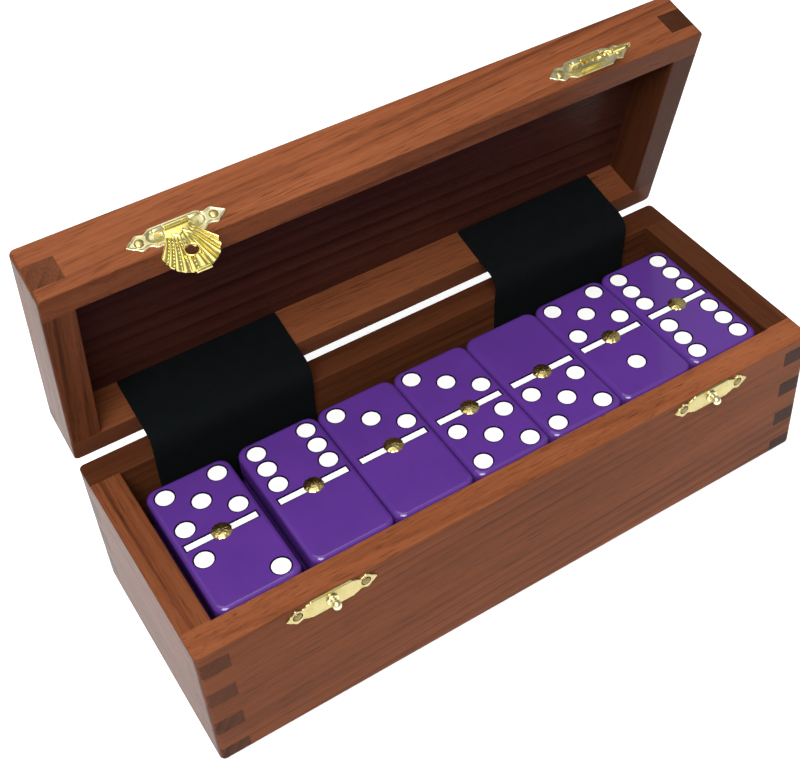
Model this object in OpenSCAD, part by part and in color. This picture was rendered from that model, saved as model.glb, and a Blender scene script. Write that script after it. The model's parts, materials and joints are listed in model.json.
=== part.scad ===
// Domino storage box: a finger-jointed hardwood box with a hinged lid, two shell hasps,
// two felt straps over its hinges and a full double-six set of dominoes in four layers.
// The origin is the centre of the underside, +X runs along the box and the hasps face -Y.

/* [Domino tiles] */
// Width of a tile
tile_w = 25.2; // [22:0.1:28]
// Length of a tile
tile_l = 47.6; // [44:0.1:58]
// Thickness of a tile
tile_t = 9.4; // [7:0.1:12]
// Radius of a tile's corners seen from above
tile_corner_r = 3.6; // [1:0.1:5]
// Play between neighbouring tiles of a row
tile_play = 0.15; // [0.1:0.05:0.3]
// Diameter of a pip
pip_d = 5.3; // [4:0.1:5.8]
// Depth of the pips and of the dividing bar
pip_depth = 0.35; // [0.2:0.05:0.6]
// Wood left between a pip and the tile's long side
pip_side_margin = 2.1; // [1.6:0.1:2.6]
// Distance from a pip to the tile's short side
pip_end_margin = 2.2; // [1.6:0.1:2.6]
// Width of the dividing bar
bar_w = 2; // [1:0.1:2.6]
// Distance from the end of the bar to the tile's long side
bar_margin = 2.1; // [1:0.1:4]
// Diameter of the brass spinner's head
spinner_d = 5.8; // [4.6:0.1:6.2]
// Height of the spinner's head
spinner_h = 0.9; // [0.6:0.05:1.4]
// Diameter of the spinner's shank
spinner_shank_d = 2.4; // [1.6:0.1:3]
// Depth of the spinner's shank in the tile
spinner_shank_l = 5; // [3:0.1:6]

/* [Packing of the tiles] */
// Gap between a spinner and the tile that lies on it
stack_gap = 0.1; // [0.05:0.05:0.3]
// Gap between the left wall and the first tile
left_gap = 2.3; // [0.3:0.1:4]
// Extra gap between the first and the second tile
loose_gap = 2.4; // [0:0.1:4]
// Gap between the last tile and the right wall
right_gap = 0.6; // [0.3:0.1:4]
// Gap between the tiles and the front wall
front_gap = 1.7; // [0.2:0.1:3]
// Gap between the tiles and the back wall
back_gap = 8.3; // [3:0.1:12]
// Depth of the top tiles below the rim
rim_depth = 2.4; // [1.5:0.1:8]
// Gap under a lifted tile, above the rim
lift_clear = 4; // [2:0.5:5]

/* [Wooden box] */
// Thickness of the walls
wall = 8.7; // [7.5:0.1:11]
// Radius of the upright outer edges
corner_r = 2.5; // [1:0.1:4]
// Thickness of the floor panel
floor_t = 5; // [3.5:0.1:7]
// Width of the ledge that the panels sit on
panel_ledge = 4; // [2:0.1:5]
// Height of the lid
lid_h = 17.8; // [15:0.1:26]
// Thickness of the lid's top panel
lid_panel_t = 5.2; // [3.5:0.1:6]
// Gap between the lid and the base when the lid is shut
closing_gap = 0.6; // [0.5:0.05:1]
// Angle of the open lid from shut
lid_open = 76; // [60:1:85]
// Height of a corner finger on the base
finger_h = 5.7; // [4:0.1:6.4]
// Height from one corner finger to the next
finger_pitch = 12.9; // [11:0.1:16]
// Height of the lid's corner finger above the lid's edge
lid_finger_z = 3.6; // [2:0.1:5]
// Height of the lid's corner finger
lid_finger_h = 7.4; // [4:0.1:9]

/* [Butt hinges] */
// Length of a hinge
leaf_l = 25; // [18:0.5:32]
// Width of a hinge leaf, from the pin's axis
leaf_w = 6; // [4.5:0.1:7.5]
// Thickness of a hinge leaf
leaf_t = 0.8; // [0.6:0.05:1]
// Gap between the leaves when the lid is shut
leaf_gap = 0.2; // [0.1:0.05:0.3]
// Outer diameter of the knuckles
knuckle_d = 3; // [2.8:0.1:3.6]
// Diameter of the hinge pin
hinge_pin_d = 1.5; // [1:0.1:1.6]
// Distance of the hinge pin's axis behind the back wall
hinge_out = 1; // [0.8:0.1:1.6]
// Play between two knuckles, along the pin
knuckle_play = 0.15; // [0.1:0.05:0.3]
// Diameter of a wood screw
screw_d = 1.6; // [1:0.1:1.8]
// Diameter of a screw's head
screw_head_d = 2.8; // [2.4:0.1:3]
// Length of a screw
screw_l = 6; // [4:0.5:9]
// Distance from the middle of the hinge to its screws
screw_x = 8.5; // [7:0.1:8.8]

/* [Felt straps] */
// Width of a strap
strap_w = 49.5; // [34:0.5:56]
// Thickness of the felt
strap_t = 1; // [0.6:0.1:1.4]
// Distance from the end wall to the strap's edge
strap_end_gap = 10; // [4:0.5:14]
// Height of the strap's lower end above the floor panel
strap_foot_gap = 11; // [4:0.5:20]
// Distance from the strap to the edge of the rim
strap_rim_gap = 0.3; // [0.2:0.1:0.6]
// Distance from the strap to the back wall it hangs against
strap_wall_gap = 0.02; // [0.01:0.01:0.05]

/* [Shell hasps] */
// Distance from the box's end to the middle of a hasp
hasp_inset = 37.7; // [28:0.1:50]
// Length of the hasp plate
hasp_plate_l = 26.8; // [25:0.1:29]
// Width of the hasp plate
hasp_plate_w = 6.4; // [5.4:0.1:7]
// Thickness of the hasp and catch plates
plate_t = 0.8; // [0.5:0.05:1]
// Height of the hasp plate's middle above the lid's edge
hasp_plate_z = 4.4; // [4:0.1:5]
// Height of the shell's pin above the plate's middle
hasp_line = 0.5; // [0:0.1:0.8]
// Diameter of the shell's pin
hasp_pin_d = 1; // [0.7:0.05:1.1]
// Diameter of the shell's knuckle
shell_knuckle_d = 2.4; // [2.1:0.1:2.6]
// Length of the shell's knuckle
shell_knuckle_l = 6.4; // [5:0.1:6.6]
// Play at each end of the shell's knuckle
shell_play = 0.25; // [0.15:0.05:0.4]
// Length of each boss that holds the shell's pin
boss_l = 3.3; // [2.4:0.1:3.6]
// Diameter of the bosses
boss_d = 3; // [2.6:0.1:3.4]
// Thickness of the shell
shell_t = 0.7; // [0.5:0.05:0.9]
// Gap between the shell and the plates behind it
shell_gap = 0.3; // [0.2:0.05:0.4]
// Radius of the scallop shell
shell_r = 7.4; // [6.6:0.1:8]
// Distance from the pin to the centre of the shell
shell_drop = 7.6; // [7.2:0.1:8.4]
// Depth of the scallops on the shell's edge
scallop = 0.3; // [0.1:0.05:0.4]
// Distance from the pin to the hole for the stud
hole_drop = 9.1; // [8.8:0.1:9.6]
// Diameter of the hole for the stud
hole_d = 3.4; // [3.2:0.1:4]
// Width of the curled finger lip
lip_w = 4.6; // [3:0.1:6]
// Diameter of the curled finger lip
lip_d = 1.6; // [1.2:0.1:2]
// Angle at which the left shell stands off the lid's face
left_swing = 0; // [0:1:10]
// Angle at which the right shell stands off the lid's face
right_swing = 52; // [10:1:90]
// Greatest angle of a shell from the lid's face
swing_max = 150; // [120:1:160]

/* [Catches] */
// Length of the catch plate
catch_plate_l = 26.6; // [25:0.1:29]
// Width of the catch plate
catch_plate_w = 6.2; // [5.4:0.1:6.6]
// Diameter of the stud's neck
stud_neck_d = 2; // [1.6:0.1:2.2]
// Diameter of the stud's ball
stud_ball_d = 2.7; // [2.4:0.1:2.8]
// Reach of the stud from the front wall
stud_reach = 4.1; // [3.8:0.1:4.4]
// Diameter of the stud's shank
stud_shank_d = 1.6; // [1.2:0.1:1.8]
// Depth of the stud's shank in the wall
stud_shank_l = 5; // [3:0.5:6.5]
// Distance from the middle of a plate to its nails
nail_x = 9.9; // [9.6:0.1:10.2]
// Diameter of a nail's head
nail_head_d = 2.1; // [1.6:0.1:2.4]
// Height of a nail's head
nail_head_h = 0.5; // [0.3:0.05:0.7]
// Diameter of a nail's shank
nail_d = 0.9; // [0.6:0.05:1]
// Depth of a nail's shank in the wall
nail_l = 5; // [3:0.5:6.5]

/* [Hidden] */
columns = 7;
layers = 4;
knuckles = 5;
scallops = 22;
fit_clear = 0.02;   // between a shank and the hole it is fixed in
run_clear = 0.05;   // between a pin and the knuckle that turns on it
swing_clear = 0.15; // between a knuckle and the leaf it turns past
leaf_clear = 0.05;  // between a leaf and the sides of its mortise
trough_clear = 0.3; // between a knuckle and the wood around it
eps = 0.01;         // overlap that lets a cut pass a face
over = 1;           // how far a cutting tool reaches past a face
$fn = 48;

// The top layer from left to right, then the layers under it: [pips at the back, pips in front].
TILES = [
    [[5, 2], [6, 0], [3, 0], [3, 5], [0, 5], [5, 1], [6, 6]],
    [[0, 0], [1, 0], [1, 1], [2, 0], [2, 1], [2, 2], [3, 1]],
    [[3, 2], [3, 3], [4, 0], [4, 1], [4, 2], [4, 3], [4, 4]],
    [[5, 4], [5, 5], [6, 1], [6, 2], [6, 3], [6, 4], [6, 5]],
];
function tile_name(t) = str("tile_", max(t), "_", min(t));
BOX_NODES = [
    "base_front_wall", "base_back_wall", "base_left_wall", "base_right_wall", "base_floor",
    "lid_front_wall", "lid_back_wall", "lid_left_wall", "lid_right_wall", "lid_panel",
    "hinge_left_base_leaf", "hinge_right_base_leaf", "hinge_left_lid_leaf",
    "hinge_right_lid_leaf", "hinge_pins", "hinge_base_screws", "hinge_lid_screws",
    "hasp_left_plate", "hasp_right_plate", "hasp_left_shell", "hasp_right_shell",
    "hasp_pins", "hasp_nails", "catch_left_plate", "catch_right_plate", "catch_studs",
    "catch_nails", "strap_left_base", "strap_right_base", "strap_left_lid", "strap_right_lid",
];

// The box is made to fit the tiles.
tile_pitch = tile_w + tile_play;
layer_pitch = tile_t + spinner_h + stack_gap;
inner_l = left_gap + columns * tile_pitch - tile_play + loose_gap + right_gap;
inner_w = front_gap + tile_l + back_gap;
box_l = inner_l + 2 * wall;
box_w = inner_w + 2 * wall;
base_h = floor_t + layers * layer_pitch - spinner_h - stack_gap + rim_depth;
lid_z = base_h + closing_gap;
finger_count = floor((base_h - finger_h) / finger_pitch) + 1;
tile_y = -inner_w / 2 + front_gap + tile_l / 2;
pip_x = tile_w / 2 - pip_side_margin - pip_d / 2;
pip_half = tile_l / 4 + bar_w / 4;
pip_row = tile_l / 2 - pip_half - pip_end_margin - pip_d / 2;

// The hinge axis, and the two hinges under the straps.
axis_y = box_w / 2 + hinge_out;
axis_z = base_h + closing_gap / 2;
strap_x = inner_l / 2 - strap_end_gap - strap_w / 2;
knuckle_l = leaf_l / knuckles;

// The hasps, and the catches below them.
hasp_x = box_l / 2 - hasp_inset;
front_y = -box_w / 2;
shell_back = plate_t + shell_gap;
hasp_out = shell_back + shell_knuckle_d / 2 - swing_clear;
hasp_z = lid_z + hasp_plate_z + hasp_line;
catch_z = hasp_z - hole_drop;

wood_side = "#8a4a2c";
wood_end = "#7c4128";
wood_panel = "#5c2f1e";
brass = "#d8c878";
shell_gold = "#caa63c";
felt = "#121a1c";
tile_purple = "#4a2a86";

// ---- small shared shapes ----

module rounded_rect(l, w, r) {
    square([l - 2 * r, w], center = true);
    square([l, w - 2 * r], center = true);
    for (x = [-1, 1], y = [-1, 1]) translate([x * (l / 2 - r), y * (w / 2 - r)]) circle(r);
}

module block(x0, x1, y0, y1, z0, z1) {
    translate([x0, y0, z0]) cube([x1 - x0, y1 - y0, z1 - z0]);
}

// A rod along X, centred on x = 0.
module rod(d, l) { rotate([0, 90, 0]) cylinder(d = d, h = l, center = true); }

// A rod that starts at the origin and runs towards +Y.
module peg(d, l) { rotate([-90, 0, 0]) cylinder(d = d, h = l); }

// A flat shape in X and Z, raised from y = 0 towards the front.
module raise(h) { rotate([90, 0, 0]) linear_extrude(h) children(); }

// A low dome of diameter d and height h that stands on z = 0.
module dome(d, h) {
    r = (d * d / 4 + h * h) / (2 * h);
    intersection() {
        translate([0, 0, h - r]) sphere(r);
        cylinder(d = d + over, h = h);
    }
}

module open_lid() {
    translate([0, axis_y, axis_z]) rotate([-lid_open, 0, 0]) translate([0, -axis_y, -axis_z])
        children();
}

// ---- wooden walls ----

function finger_zs(in_lid) = in_lid
    ? [[lid_z + lid_finger_z, lid_finger_h]]
    : [for (i = [0 : finger_count - 1]) [i * finger_pitch, finger_h]];

// The bars of one end wall that run through both corners, where their ends are the fingers.
module fingers(side, in_lid) {
    for (f = finger_zs(in_lid))
        translate([side * (box_l - wall) / 2, 0, f[0] + f[1] / 2])
            cube([wall, box_w, f[1]], center = true);
}

module outline(z0, z1) { translate([0, 0, z0]) linear_extrude(z1 - z0) rounded_rect(box_l, box_w, corner_r); }

module panel(z0, z1) {
    l = inner_l + 2 * panel_ledge;
    w = inner_w + 2 * panel_ledge;
    block(-l / 2, l / 2, -w / 2, w / 2, z0, z1);
}

// side is -1 for the front and 1 for the back.
module long_wall(side, z0, z1, in_lid) {
    difference() {
        intersection() {
            outline(z0, z1);
            translate([0, side * (box_w - wall) / 2, (z0 + z1) / 2])
                cube([box_l, wall, z1 - z0], center = true);
        }
        for (s = [-1, 1]) fingers(s, in_lid);
    }
}

// side is -1 for the left and 1 for the right.
module end_wall(side, z0, z1, in_lid) {
    intersection() {
        outline(z0, z1);
        union() {
            translate([side * (box_l - wall) / 2, 0, (z0 + z1) / 2])
                cube([wall, inner_w, z1 - z0], center = true);
            fingers(side, in_lid);
        }
    }
}

module base_panel_cut() { translate([0, 0, -eps]) panel(0, floor_t + eps); }
module lid_panel_cut() { translate([0, 0, eps]) panel(lid_z + lid_h - lid_panel_t - eps, lid_z + lid_h); }

// The mortises for the leaves, the trough for the knuckles and the screw holes.
module hinge_cuts() {
    for (s = [-1, 1]) translate([s * strap_x, axis_y, axis_z]) {
        block(-leaf_l / 2 - leaf_clear, leaf_l / 2 + leaf_clear, -leaf_w - leaf_clear, over,
            -leaf_gap / 2 - leaf_t, leaf_gap / 2 + leaf_t);
        rod(knuckle_d + 2 * trough_clear, leaf_l + 2 * trough_clear);
        for (x = [-1, 1]) translate([x * screw_x, -leaf_w / 2, 0])
            cylinder(d = screw_d + 2 * fit_clear, h = 2 * (screw_l + leaf_gap), center = true);
    }
}

module nail_cuts(z) {
    for (s = [-1, 1], x = [-1, 1]) translate([s * hasp_x + x * nail_x, front_y - over, z])
        peg(nail_d + 2 * fit_clear, over + nail_l + fit_clear);
}

module base_front_wall() {
    color(wood_side) difference() {
        long_wall(-1, 0, base_h, false);
        base_panel_cut();
        nail_cuts(catch_z);
        for (s = [-1, 1]) translate([s * hasp_x, front_y - over, catch_z])
            peg(stud_shank_d + 2 * fit_clear, over + stud_shank_l + fit_clear);
    }
}

module base_back_wall() {
    color(wood_side) difference() {
        long_wall(1, 0, base_h, false);
        base_panel_cut();
        hinge_cuts();
    }
}

module base_end_wall(side) {
    color(wood_end) difference() {
        end_wall(side, 0, base_h, false);
        base_panel_cut();
    }
}

module base_floor() { color(wood_panel) panel(0, floor_t); }

module lid_front_wall() {
    color(wood_side) open_lid() difference() {
        long_wall(-1, lid_z, lid_z + lid_h, true);
        lid_panel_cut();
        nail_cuts(lid_z + hasp_plate_z);
    }
}

module lid_back_wall() {
    color(wood_side) open_lid() difference() {
        long_wall(1, lid_z, lid_z + lid_h, true);
        lid_panel_cut();
        hinge_cuts();
    }
}

module lid_end_wall(side) {
    color(wood_end) open_lid() difference() {
        end_wall(side, lid_z, lid_z + lid_h, true);
        lid_panel_cut();
    }
}

module lid_panel() { color(wood_panel) open_lid() panel(lid_z + lid_h - lid_panel_t, lid_z + lid_h); }

// ---- butt hinges ----

// One leaf, hanging under the pin's axis (upper = false) or standing on it (upper = true).
module leaf(upper) {
    first = upper ? 1 : 0;
    difference() {
        union() {
            mirror([0, 0, upper ? 1 : 0])
                block(-leaf_l / 2, leaf_l / 2, -leaf_w, 0, -leaf_gap / 2 - leaf_t, -leaf_gap / 2);
            for (i = [first : 2 : knuckles - 1])
                translate([(i + 0.5) * knuckle_l - leaf_l / 2, 0, 0])
                    rod(knuckle_d, knuckle_l - knuckle_play);
        }
        for (i = [1 - first : 2 : knuckles - 1])
            translate([(i + 0.5) * knuckle_l - leaf_l / 2, 0, 0])
                rod(knuckle_d + 2 * swing_clear, knuckle_l + knuckle_play);
        rod(hinge_pin_d + 2 * (upper ? run_clear : fit_clear), leaf_l + over);
        for (x = [-1, 1]) translate([x * screw_x, -leaf_w / 2, 0]) mirror([0, 0, upper ? 1 : 0])
            screw_shape(fit_clear, over);
    }
}

// A countersunk screw that points down from the top of the lower leaf.
module screw_shape(clear, above) {
    top = -leaf_gap / 2;
    translate([0, 0, top - screw_l - clear]) cylinder(d = screw_d + 2 * clear, h = screw_l + above);
    cone_h = (screw_head_d - screw_d) / 2;
    translate([0, 0, top - cone_h])
        cylinder(d1 = screw_d + 2 * clear, d2 = screw_head_d + 2 * clear, h = cone_h);
}

module at_hinge(s) { translate([s * strap_x, axis_y, axis_z]) children(); }
module base_leaf(s) { color(brass) at_hinge(s) leaf(false); }
module lid_leaf(s) { color(brass) open_lid() at_hinge(s) leaf(true); }
module hinge_pins() { color(brass) for (s = [-1, 1]) at_hinge(s) rod(hinge_pin_d, leaf_l); }

module screws(upper) {
    for (s = [-1, 1], x = [-1, 1]) at_hinge(s) translate([x * screw_x, -leaf_w / 2, 0])
        mirror([0, 0, upper ? 1 : 0]) screw_shape(0, 0);
}
module hinge_base_screws() { color(brass) screws(false); }
module hinge_lid_screws() { color(brass) open_lid() screws(true); }

// ---- felt straps ----

module strap_base(s) {
    y = box_w / 2 - wall - strap_wall_gap;
    color(felt) translate([s * strap_x, 0, 0])
        block(-strap_w / 2, strap_w / 2, y - strap_t, y, floor_t + strap_foot_gap, base_h - strap_rim_gap);
}

module strap_lid(s) {
    y = box_w / 2 - wall - strap_wall_gap;
    top = lid_z + lid_h - lid_panel_t;
    color(felt) open_lid() translate([s * strap_x, 0, 0])
        block(-strap_w / 2, strap_w / 2, y - strap_t, y, lid_z + strap_rim_gap, top - strap_rim_gap);
}

// ---- shell hasps and catches ----

// Half the width of a plate at the distance x from its middle: a straight middle, a neck,
// a round lobe for the nail and a pointed end, joined by smooth steps.
function plate_stations(l, w) = [
    [0, w / 2], [l * 0.22, w / 2], [l * 0.3, w * 0.34], [l * 0.37, w * 0.42],
    [l * 0.43, w * 0.28], [l * 0.5, 0],
];
function smooth(t) = (1 - cos(180 * t)) / 2;
steps = 5;
function plate_edge(l, w) = let (s = plate_stations(l, w), last = len(s) - 2) concat(
    [for (i = [0 : last], k = [0 : steps - 1]) let (t = k / steps, m = i == last ? t : smooth(t))
        [s[i][0] + (s[i + 1][0] - s[i][0]) * t, s[i][1] + (s[i + 1][1] - s[i][1]) * m]],
    [[l / 2, 0]]);

// The edge of one quarter, walked outwards or back inwards, in each of the four quarters.
module plate_2d(l, w) {
    edge = plate_edge(l, w);
    n = len(edge) - 1;
    polygon([for (q = [0 : 3], i = [0 : n - 1])
        let (p = edge[q % 2 == 0 ? i : n - i]) [(q < 2 ? 1 : -1) * p[0], (q % 3 == 0 ? 1 : -1) * p[1]]]);
}

// The whole hasp stands on the lid's front face, with its pin's axis at the origin of X and Z.
module at_hasp(s) { open_lid() translate([s * hasp_x, front_y, hasp_z]) children(); }

module nail_holes() {
    for (x = [-1, 1]) translate([x * nail_x, -plate_t - over, 0])
        peg(nail_d + 2 * fit_clear, plate_t + 2 * over);
}

module hasp_plate(s) {
    boss_x = shell_knuckle_l / 2 + shell_play + boss_l / 2;
    color(brass) at_hasp(s) difference() {
        union() {
            translate([0, 0, -hasp_line]) raise(plate_t) plate_2d(hasp_plate_l, hasp_plate_w);
            for (x = [-1, 1]) translate([x * boss_x, -hasp_out, 0]) {
                rod(boss_d, boss_l);
                block(-boss_l / 2, boss_l / 2, 0, hasp_out - plate_t + eps, -boss_d / 2, boss_d / 2);
            }
        }
        translate([0, -hasp_out, 0]) rod(hasp_pin_d + 2 * fit_clear, 2 * boss_x + boss_l + over);
        translate([0, 0, -hasp_line]) nail_holes();
    }
}

module hasp_pins() {
    l = shell_knuckle_l + 2 * shell_play + 2 * boss_l;
    color(brass) for (s = [-1, 1]) at_hasp(s) translate([0, -hasp_out, 0]) rod(hasp_pin_d, l);
}

function scallop_r(a) = shell_r - scallop * (1 - abs(sin(a * scallops / 2)));

// A scallop shell that hangs from the pin by a straight flap, with its shoulders clear of the bosses.
module shell_2d() {
    shoulder = boss_d / 2 + 2 * shell_play;
    difference() {
        translate([0, -shell_drop]) polygon([for (a = [0 : 3 : 357]) scallop_r(a) * [cos(a), sin(a)]]);
        translate([-shell_r, -shoulder]) square(2 * shell_r);
    }
    for (m = [0, 1]) mirror([m, 0]) polygon([
        [0, 0], [shell_knuckle_l / 2, 0], [shell_knuckle_l / 2, -shoulder],
        [shell_r * 0.97, -shell_drop + shell_r * 0.1], [0, -shell_drop],
    ]);
}

module hasp_shell(s, swing) {
    bottom = -shell_drop - shell_r;
    color(shell_gold) at_hasp(s) translate([0, -hasp_out, 0]) rotate([-swing, 0, 0]) difference() {
        union() {
            translate([0, hasp_out - shell_back, 0]) raise(shell_t) difference() {
                shell_2d();
                translate([0, -hole_drop]) circle(d = hole_d);
            }
            rod(shell_knuckle_d, shell_knuckle_l);
            translate([0, hasp_out - shell_back - shell_t - lip_d / 4, bottom + lip_d / 2])
                rod(lip_d, lip_w);
        }
        rod(hasp_pin_d + 2 * run_clear, shell_knuckle_l + over);
    }
}

module nail(z) {
    translate([0, -plate_t, z]) rotate([90, 0, 0]) dome(nail_head_d, nail_head_h);
    translate([0, -plate_t - eps, z]) peg(nail_d, plate_t + nail_l);
}
module hasp_nails() {
    color(brass) for (s = [-1, 1], x = [-1, 1]) at_hasp(s) translate([x * nail_x, 0, 0]) nail(-hasp_line);
}

module at_catch(s) { translate([s * hasp_x, front_y, catch_z]) children(); }

module catch_plate(s) {
    color(brass) at_catch(s) difference() {
        raise(plate_t) plate_2d(catch_plate_l, catch_plate_w);
        nail_holes();
        translate([0, -plate_t - over, 0]) peg(stud_shank_d + 2 * fit_clear, plate_t + 2 * over);
    }
}

module catch_nails() {
    color(brass) for (s = [-1, 1], x = [-1, 1]) at_catch(s) translate([x * nail_x, 0, 0]) nail(0);
}

// A peg with a ball head that the shell's hole drops over.
module catch_studs() {
    color(brass) for (s = [-1, 1]) at_catch(s) {
        translate([0, -plate_t - eps, 0]) peg(stud_shank_d, plate_t + stud_shank_l);
        translate([0, -stud_reach + stud_ball_d / 2, 0]) {
            peg(stud_neck_d, stud_reach - stud_ball_d / 2 - plate_t);
            sphere(d = stud_ball_d);
        }
    }
}

// ---- dominoes ----

// Places of the pips on one half, in units of the pip spacing.
function pips(n) =
    n == 0 ? [] :
    n == 1 ? [[0, 0]] :
    n == 2 ? [[-1, 1], [1, -1]] :
    n == 3 ? concat(pips(2), pips(1)) :
    n == 4 ? concat(pips(2), [[-1, -1], [1, 1]]) :
    n == 5 ? concat(pips(4), pips(1)) :
    concat(pips(4), [[-1, 0], [1, 0]]);

function column_x(c) = -inner_l / 2 + left_gap + tile_w / 2 + c * tile_pitch + (c > 0 ? loose_gap : 0);
function layer_z(k) = floor_t + (layers - 1 - k) * layer_pitch;

// A tile lies flat with its underside at z = 0, and its spinner is riveted in the middle.
module tile(halves) {
    color(tile_purple) difference() {
        linear_extrude(tile_t) rounded_rect(tile_w, tile_l, tile_corner_r);
        translate([0, 0, tile_t - pip_depth]) {
            for (h = [0, 1], p = pips(halves[h]))
                translate([p[0] * pip_x, (1 - 2 * h) * pip_half + p[1] * pip_row, 0])
                    cylinder(d = pip_d, h = pip_depth + over);
            translate([0, 0, (pip_depth + over) / 2])
                cube([tile_w - 2 * bar_margin, bar_w, pip_depth + over], center = true);
        }
        translate([0, 0, tile_t - spinner_shank_l - fit_clear])
            cylinder(d = spinner_shank_d + 2 * fit_clear, h = spinner_shank_l + over);
    }
    color(brass) translate([0, 0, tile_t + fit_clear]) {
        dome(spinner_d, spinner_h - fit_clear);
        translate([0, 0, -spinner_shank_l]) cylinder(d = spinner_shank_d, h = spinner_shank_l + eps);
    }
}

module tile_at(c, k) { translate([column_x(c), tile_y, layer_z(k)]) tile(TILES[k][c]); }

// ---- the nodes ----

base_front_wall();
base_back_wall();
base_end_wall(-1);  // base_left_wall
base_end_wall(1);  // base_right_wall
base_floor();
lid_front_wall();
lid_back_wall();
lid_end_wall(-1);  // lid_left_wall
lid_end_wall(1);  // lid_right_wall
lid_panel();
base_leaf(-1);  // hinge_left_base_leaf
base_leaf(1);  // hinge_right_base_leaf
lid_leaf(-1);  // hinge_left_lid_leaf
lid_leaf(1);  // hinge_right_lid_leaf
hinge_pins();
hinge_base_screws();
hinge_lid_screws();
hasp_plate(-1);  // hasp_left_plate
hasp_plate(1);  // hasp_right_plate
hasp_shell(-1, left_swing);  // hasp_left_shell
hasp_shell(1, right_swing);  // hasp_right_shell
hasp_pins();
hasp_nails();
catch_plate(-1);  // catch_left_plate
catch_plate(1);  // catch_right_plate
catch_studs();
catch_nails();
strap_base(-1);  // strap_left_base
strap_base(1);  // strap_right_base
strap_lid(-1);  // strap_left_lid
strap_lid(1);  // strap_right_lid
for (k = [0 : layers - 1], c = [0 : columns - 1])
    tile_at(c, k);
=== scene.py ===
# %% [markdown]
# # Dressing a domino storage box
#
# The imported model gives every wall, hinge, hasp and tile its place and size. This lesson puts a
# finished piece over each of them: sanded boards with finger joints, polished tiles with inlaid
# pips, stamped brass and two felt straps. Everything is in metres, with the lid standing open.

# %% Load the frame
import json
import math
import random

import bmesh
import bpy
from mathutils import Matrix, Vector, noise


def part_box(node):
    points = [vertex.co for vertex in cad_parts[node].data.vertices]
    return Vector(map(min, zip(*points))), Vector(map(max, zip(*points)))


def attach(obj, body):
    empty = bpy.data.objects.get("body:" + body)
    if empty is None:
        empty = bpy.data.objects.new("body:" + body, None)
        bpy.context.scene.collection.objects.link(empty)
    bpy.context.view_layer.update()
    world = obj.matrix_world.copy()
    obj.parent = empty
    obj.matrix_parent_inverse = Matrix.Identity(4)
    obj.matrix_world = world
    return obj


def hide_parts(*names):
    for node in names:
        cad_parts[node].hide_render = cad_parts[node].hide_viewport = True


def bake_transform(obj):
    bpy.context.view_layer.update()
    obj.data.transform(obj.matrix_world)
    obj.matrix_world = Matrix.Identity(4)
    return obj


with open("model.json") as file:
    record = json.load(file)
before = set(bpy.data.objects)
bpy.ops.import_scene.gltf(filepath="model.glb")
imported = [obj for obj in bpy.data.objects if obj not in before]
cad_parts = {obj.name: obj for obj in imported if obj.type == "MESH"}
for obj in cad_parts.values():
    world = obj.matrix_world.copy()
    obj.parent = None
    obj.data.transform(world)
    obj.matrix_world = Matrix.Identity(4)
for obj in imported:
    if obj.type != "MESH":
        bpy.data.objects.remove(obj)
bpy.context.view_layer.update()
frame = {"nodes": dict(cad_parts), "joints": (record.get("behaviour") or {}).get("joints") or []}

MM = 0.001
SIDES = ("left", "right")
NODES = frame["nodes"]

# %% [markdown]
# The lid is easier to build shut, where all its faces are square to the axes, and to open at the
# end. The hinge joint says where the axis is and how far the lid can turn, so one matrix opens a
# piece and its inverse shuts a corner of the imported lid, to measure it.

# %% The hinge
JOINTS = {joint["name"]: joint for joint in frame["joints"]}


def turn_about(point, degrees):
    """A matrix that turns about an axis through point, along X."""
    turn = Matrix.Rotation(math.radians(degrees), 4, "X")
    return Matrix.Translation(point) @ turn @ Matrix.Translation(-Vector(point))


hinge = Vector(JOINTS["lid_hinge"]["pos_m"])
lid_angle = JOINTS["lid_hinge"]["range_deg"][0]
OPEN = turn_about(hinge, lid_angle)
SHUT = OPEN.inverted()


def shut_box(node):
    """The lowest and highest corners of one of the lid's nodes, with the lid shut."""
    corners = [SHUT @ vertex.co for vertex in NODES[node].data.vertices]
    return Vector(map(min, zip(*corners))), Vector(map(max, zip(*corners)))


def centre_of(node):
    low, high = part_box(node)
    return (low + high) / 2


print("the lid stands open by", -lid_angle, "degrees")

# %% [markdown]
# ## Working by hand, in code
#
# An operator works on what is selected, so each step first picks an object and the parts of it
# that a modeller would click on. These helpers do the picking, so the steps below read like a list.

# %% Picking
def pick(*objects):
    """Leaves only these objects selected, in object mode, with the first one active."""
    if bpy.context.object and bpy.context.object.mode != "OBJECT":
        bpy.ops.object.mode_set(mode="OBJECT")
    bpy.ops.object.select_all(action="DESELECT")
    for obj in objects:
        obj.select_set(True)
    bpy.context.view_layer.objects.active = objects[0]


def edit(obj, kind, wanted=lambda part: True):
    """Opens obj in edit mode with only the wanted vertices, edges or faces selected."""
    pick(obj)
    bpy.ops.object.mode_set(mode="EDIT")
    bpy.ops.mesh.select_mode(type=kind)
    bpy.ops.mesh.select_all(action="DESELECT")
    mesh = bmesh.from_edit_mesh(obj.data)
    for part in {"VERT": mesh.verts, "EDGE": mesh.edges, "FACE": mesh.faces}[kind]:
        if wanted(part):
            part.select_set(True)
    mesh.select_flush_mode()
    bmesh.update_edit_mesh(obj.data)


def done():
    bpy.ops.object.mode_set(mode="OBJECT")


def face_outward(gap=0.0):
    """Closes gaps in the mesh being edited, turns its normals outward and leaves edit mode."""
    bpy.ops.mesh.select_all(action="SELECT")
    if gap:
        bpy.ops.mesh.remove_doubles(threshold=gap)
    bpy.ops.mesh.normals_make_consistent(inside=False)
    done()


# %% [markdown]
# Blocks, rods, cones and balls are the raw stock. Each is added at its size and place, and its
# transform is applied at once, so the object stays at the origin and its place is in its mesh.

# %% Raw stock
def settle(name):
    bpy.ops.object.transform_apply(location=True, rotation=True, scale=True)
    bpy.context.object.name = name
    return bpy.context.object


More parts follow.
